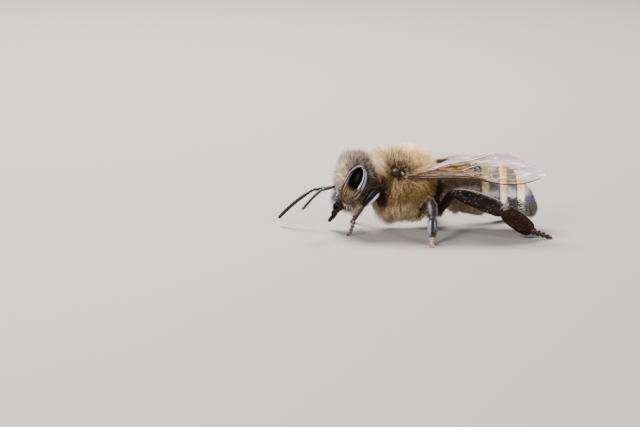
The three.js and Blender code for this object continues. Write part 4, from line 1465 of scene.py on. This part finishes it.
def headGrowth(points):
    # thin on the clypeus and by the jaws, none under the eyes
    f, s, h = toHead(points)
    plate = smoothStep(0.8, 1.1, np.hypot(s / 1.1, (h + 1.4) / 0.62)) + (f < 0.1)
    wide, tall = eye["radii"][0] * 0.95, eye["radii"][2] * 0.97
    beside = np.hypot((f - eye["forward"]) / wide, (h - eye["up"]) / tall)
    free = (beside > 1) | (np.abs(s) < 1.0 + 0.2 * smoothStep(0.5, 0.1, h))
    jaw = near(points, (-4.45, 0.6, 1.55), (0.5, 0.45, 0.28))
    face = smoothStep(0.4, 0.8, f) * smoothStep(-0.9, -0.5, h) * smoothStep(0.9, 0.3, h)
    thick = 1 + 0.6 * smoothStep(-0.4, 0.6, h) + 0.7 * face
    return (np.clip(plate, 0.05, 1) * free + 1e-4) * thick * (1 - 0.9 * jaw)


def headMarks(points):
    # greyer brown on top and behind, with a golden cream spot between the eye and the feeler
    f, s, h = toHead(points)
    nape = smoothStep(0.05, -0.4, f) * smoothStep(1.8, 1.3, h) * smoothStep(-1.2, -0.7, h) * 0.85
    crown = smoothStep(0.7, 1.1, h) * smoothStep(0.7, 0.1, f) * 0.3
    spot = near(points, fromHead(0.85, 0.75, 0.2), (0.5, 0.6, 0.7)) * 0.6
    malar = smoothStep(-0.9, -1.2, h) * smoothStep(0.1, 0.4, f)
    return np.clip(nape + crown + malar, 0, 1), spot


markSkin(headSkin, headMarks)
onHead = (unwrapRound(head["centre"], headUp, -2.1, 1.8), coats["head"], "head_fur", "head")
coat("headUnder", headSkin, 6000, 15, headLie,
     dict(length=lambda roots, normals: 0.6 * headLength(roots, normals), width=0.012, lift=headLift,
          bend=0.35, wander=0.2, locks=[(8, 0.4, 0.6)], tones=(0, 0.45)),
     onHead, headGrowth, marks=headMarks)
coat("headCoat", headSkin, 8900, 12, headLie,
     dict(length=headLength, width=0.016, lift=headLift, bend=0.35, wander=0.12, rings=3, uneven=(0.5, 1.22),
          locks=[(8, 0.5, 0.45), (90, 0.1, 0.1)], tones=(-0.1, 1.35)),
     onHead, headGrowth, marks=headMarks)


def onEye(points):
    # fine hair only on the foot of the eye and along its lower rear edge
    f, s, h = toHead(points)
    up = (h - eye["up"]) / eye["radii"][2]
    across = (f - eye["forward"]) / eye["radii"][0]
    foot = smoothStep(-0.3, -0.7, up)
    rear = smoothStep(0.2, -0.3, up) * smoothStep(-0.45, -0.75, across - 0.55 * np.minimum(up, 0))
    return np.maximum(foot * 0.7, rear) + 1e-9


for word, side in sides.items():
    wrap = unwrapRound(fromHead(eye["forward"], side * eye["side"], eye["up"]), headUp, -1.3, 1.3)
    coat(f"eyeHair_{word}", eyes[word], 1500, 14 + side, -headUp,
         dict(length=0.3, width=0.01, lift=0.22, bend=0.1, wander=0.06, locks=[(6, 0.3, 0.6)]),
         (wrap, coats["cheek"], "eye", f"eye_{word}"), onEye)

# the abdomen's hair: dense flat cream bands at the front of the plates, thin fuzz elsewhere
# how light the cream bands are, from their darkest to their lightest hairs
# the front band is painted darker under the wing as painted shade, and the rear ones brighter than white as
# painted light
feltTonesAndLight = {3: (0.35, 0.85), 4: (1.0, 1.5), 5: (1.25, 1.8)}
# count, length, lift and coat of each plate's fuzz
fuzz = {1: (6000, 0.5, 0.6, "fuzz"), 2: (8000, 0.26, 0.36, "fuzz"), 3: (2600, 0.16, 0.25, "greyFuzz"),
        4: (2200, 0.15, 0.25, "greyFuzz"), 5: (1600, 0.14, 0.25, "greyFuzz"),
        6: (1500, 0.22, 0.45, "greyFuzz")}


def inFelt(number):
    def keep(points):
        share = plateShare(points, number)
        rear = smoothStep(felt[number] + 0.08, felt[number] - 0.06, share)
        return (share > -0.02) * rear * (0.06 + 0.94 * feltAbove(number, points)) + 1e-9

    return keep


def onPlate(number):
    # thicker on the belly
    def keep(points):
        below = smoothStep(2.2, 1.2, points[:, 2])
        return (plateShare(points, number) > -0.02) * (1 + 2.5 * below) + 1e-9

    return keep


def fuzzLength(long):
    # shaggier on the belly
    return lambda roots, normals: long + 0.2 * smoothStep(-0.4, -0.9, normals[:, 2])


abdomenWrap = unwrapRound((4.4, 0, 2.5), (1, 0, 0), -3.0, 3.0)
for number, plate in enumerate(plates, start=1):
    node = f"abdomen_{number}"
    if number in felt:
        coat(f"creamFelt_{number}", plate, 7000, 20 + number, (1, 0, -0.1),
             dict(length=0.23, width=0.012, lift=0.16, bend=0.2, wander=0.12, uneven=(0.5, 1.1),
                  locks=[(10, 0.3, 0.4)], tones=feltTonesAndLight[number]),
             (abdomenWrap, coats["band"], "abdomen", node), inFelt(number))
    count, long, lift, colour = fuzz[number]
    coat(f"plateFuzz_{number}", plate, count, 30 + number, (1, 0, -0.2),
         dict(length=fuzzLength(long), width=0.009, lift=lift, bend=0.4, wander=0.2, locks=[(8, 0.3, 0.4)],
              tones=(0.2, 1.2) if number < len(plates) else (0, 0.45)),
         (abdomenWrap, coats[colour], "abdomen", node), onPlate(number))
coat("waistFuzz", petiole, 1500, 40, (0.3, 0, -1),
     dict(length=0.55, width=0.012, lift=0.6, bend=0.4, wander=0.25, tones=(0, 0.6)),
     (unwrapRound((1.5, 0, 2.6), (1, 0, 0), -0.8, 0.8), coats["fuzz"], "abdomen", "petiole"))
print("body hair grown")

# the hair of the legs: count, length, lift and coat
legHair = {
    "front": {"coxa": (1500, 0.62, 0.6, "thorax"), "femur": (1600, 0.4, 0.5, "rust"),
              "tibia": (120, 0.1, 0.3, "bristle"), "basitarsus": (300, 0.08, 0.35, "fuzz"),
              "tarsus": (160, 0.08, 0.4, "bristle")},
    "middle": {"coxa": (900, 0.4, 0.5, "thorax"), "femur": (1200, 0.34, 0.5, "thorax"),
               "tibia": (400, 0.1, 0.35, "greyFuzz"), "basitarsus": (300, 0.08, 0.3, "darkBristle"),
               "tarsus": (160, 0.08, 0.4, "bristle")},
    "hind": {"coxa": (1100, 0.4, 0.5, "rust"), "femur": (1100, 0.22, 0.4, "rust"),
             "tibia": (900, 0.13, 0.25, "darkBristle"), "basitarsus": (1200, 0.12, 0.25, "darkBristle"),
             "tarsus": (200, 0.08, 0.4, "darkBristle")},
}
# the hairs that edge a shin: on which side of its length, how many, how long and of which coat
fringes = {
    "front": {"tibia": [((0.66, 0.5, -0.52), 260, 0.06, "silver")],
              "basitarsus": [((1, 0, -0.4), 60, 0.12, "fuzz")]},
    "middle": {"tibia": [((1, 0, 0), 400, 0.2, "bristle")], "basitarsus": [((1, 0, 0), 400, 0.2, "bristle")]},
    "hind": {"tibia": [((0.1, 0.1, 1), 300, 0.1, "silver"), ((-0.1, 0, -1), 300, 0.16, "darkBristle")],
             "basitarsus": [((0.3, 0, 1), 200, 0.1, "bristle"), ((-0.3, 0, -1), 200, 0.12, "darkBristle")]},
}
fringeReach = {"front": (0.75, 0.95), "middle": (0.75, 0.95), "hind": (0.95, 0.985)}
# pale grains caught in the hair of the shins: how many, and their coat
dust = {"front": {"tibia": (4, "silver"), "basitarsus": (5, "bristle")},
        "middle": {"tibia": (14, "silver"), "basitarsus": (12, "silver")},
        "hind": {"tibia": (140, "silver"), "basitarsus": (120, "cheek")}}


def facing(start, end, way, reach):
    # keeps hair to the edge of a limb that faces the given way
    start, axis, way = np.array(start), unit(np.array(end) - np.array(start)), unit(np.array(way, float))

    def keep(points):
        offset = points - start
        offset = offset - (offset @ axis)[:, None] * axis
        return smoothStep(*reach, unit(offset) @ way) + 1e-9

    return keep


def atEnd(start, end):
    # the upper side of a limb's far end
    start, way = np.array(start), np.array(end) - np.array(start)

    def keep(points):
        share = (points - start) @ way / (way @ way)
        above = points[:, 2] - (start + share[:, None] * way)[:, 2]
        return smoothStep(0.9, 0.97, share) * smoothStep(-0.1, 0.15, above) + 1e-9

    return keep


seed = 100
for kind, word in legPieces:
    for part, ends in limbEnds.items():
        seed += 1
        start, end = (legJoints[kind, word][name] for name in ends)
        way = np.array(end) - np.array(start)
        long = float(np.linalg.norm(way))
        wrap = unwrapRound(start, way, -0.2 * long, 1.2 * long)
        where = f"{kind}_{word}_{part}"
        slot = "tarsus" if part == "tarsus" else "leg"
        skin = legPieces[kind, word][part]
        count, length, lift, colour = legHair[kind][part]
        coat(f"legHair_{where}", skin, count, seed, way,
             dict(length=length, width=0.013 if length > 0.3 else 0.006, lift=lift, bend=0.3, wander=0.18,
                  locks=[(8, 0.4, 0.5)]),
             (wrap, coats[colour], slot, f"leg_{where}"))
        for i, (edge, count, length, colour) in enumerate(fringes[kind].get(part, [])):
            coat(f"fringe_{where}_{i}", skin, count, seed + 500 + 500 * i, way,
                 dict(length=length, width=0.009, lift=0.4, bend=0.35, wander=0.12),
                 (wrap, coats[colour], slot, f"leg_{where}"),
                 facing(start, end, sided(edge, sides[word]), fringeReach[kind]))
        if part in dust[kind]:
            count, colour = dust[kind][part]
            coat(f"dust_{where}", skin, count, seed + 2000, way,
                 dict(length=0.07, width=0.027, uneven=(0.2, 1.6), lift=0.8, bend=0, wander=0.3),
                 (wrap, coats[colour], slot, f"leg_{where}"))
        if (kind, part) == ("hind", "tibia"):
            coat(f"ankleTuft_{word}", skin, 34, seed + 2500, (0.8, 0, 0.6),
                 dict(length=0.5, width=0.018, lift=0.45, bend=0.2, wander=0.16, rings=3),
                 (wrap, coats["silver"], slot, f"leg_{where}"), atEnd(start, end))
print("leg hair grown")

# the finished pieces, with their nodes
finishPiece(headSkin, "headSkin", skins["head"], "head_fur", "head")
finishPiece(eyeRims, "eyeRims", horns["mouth"], "shell", "head")
finishPiece(clypeus, "clypeus", horns["clypeus"], "shell", "head")
finishPiece(labrum, "labrum", horns["mouth"], "mouthparts", "head")
finishPiece(fork, "labrumFork", horns["clypeus"], "mouthparts", "head")
finishPiece(ocelli, "ocelli", eyeMaterial, "eye", "head")
finishPiece(proboscis, "proboscisTube", horns["mouth"], "mouthparts", "proboscis")
finishPiece(thoraxSkin, "thoraxSkin", skins["thorax"], "thorax_fur", "thorax")
finishPiece(neck, "neckTube", horns["skin"], "shell", "neck")
finishPiece(petiole, "waist", horns["skin"], "shell", "petiole")
for number, plate in enumerate(plates, start=1):
    finishPiece(plate, f"abdomenPlate_{number}", abdomenMaterial, "abdomen", f"abdomen_{number}")
wingColours = {"foreMembrane": wingMaterials["fore"], "hindMembrane": wingMaterials["hind"],
               "foreEdge": horns["vein"], "foreVeins": veinMaterial, "hindVeins": veinMaterial,
               "foreMargin": marginMaterial, "hindMargin": marginMaterial}
for word in sides:
    finishPiece(eyes[word], f"eyeLens_{word}", eyeMaterial, "eye", f"eye_{word}")
    finishPiece(mandibles[word], f"jaw_{word}", horns["mouth"], "mouthparts", f"mandible_{word}")
    finishPiece(tegulae[word], f"tegulaCap_{word}", horns["shell"], "shell", f"tegula_{word}")
    finishPiece(wingRoots[word], f"wingKnuckles_{word}", horns["knuckle"], "shell", f"tegula_{word}")
    for part, piece in zip(("scape", "flagellum"), antennae[word]):
        colour = horns[word + "Feeler"]
        finishPiece(piece, f"feeler_{word}_{part}", colour, "antenna", f"antenna_{word}_{part}")
    for name, piece in wingPieces[word].items():
        finishPiece(piece, f"{name}_{word}", wingColours[name], "wing", f"{name[:4]}wing_{word}")
# the parts of each leg that differ from its plain horn
legHorns = {
    "front": {"tibia": "foreLeg", "basitarsus": "foreAnkle", "tarsus": "brownFoot"},
    "middle": {"tibia": "middleLeg", "basitarsus": "middleLeg", "tarsus": "paleFoot"},
    "hind": {"basitarsus": "basitarsus", "tarsus": "darkFoot", "rim": "rim"},
}
for (kind, word), made in legPieces.items():
    for part, piece in made.items():
        node = "tibia" if part == "rim" else part
        finishPiece(piece, f"{kind}Leg_{word}_{part}", horns[legHorns[kind].get(part, "leg")],
                    "tarsus" if part == "tarsus" else "leg", f"leg_{kind}_{word}_{node}")
print("pieces finished,", grown["hairs"], "hairs")
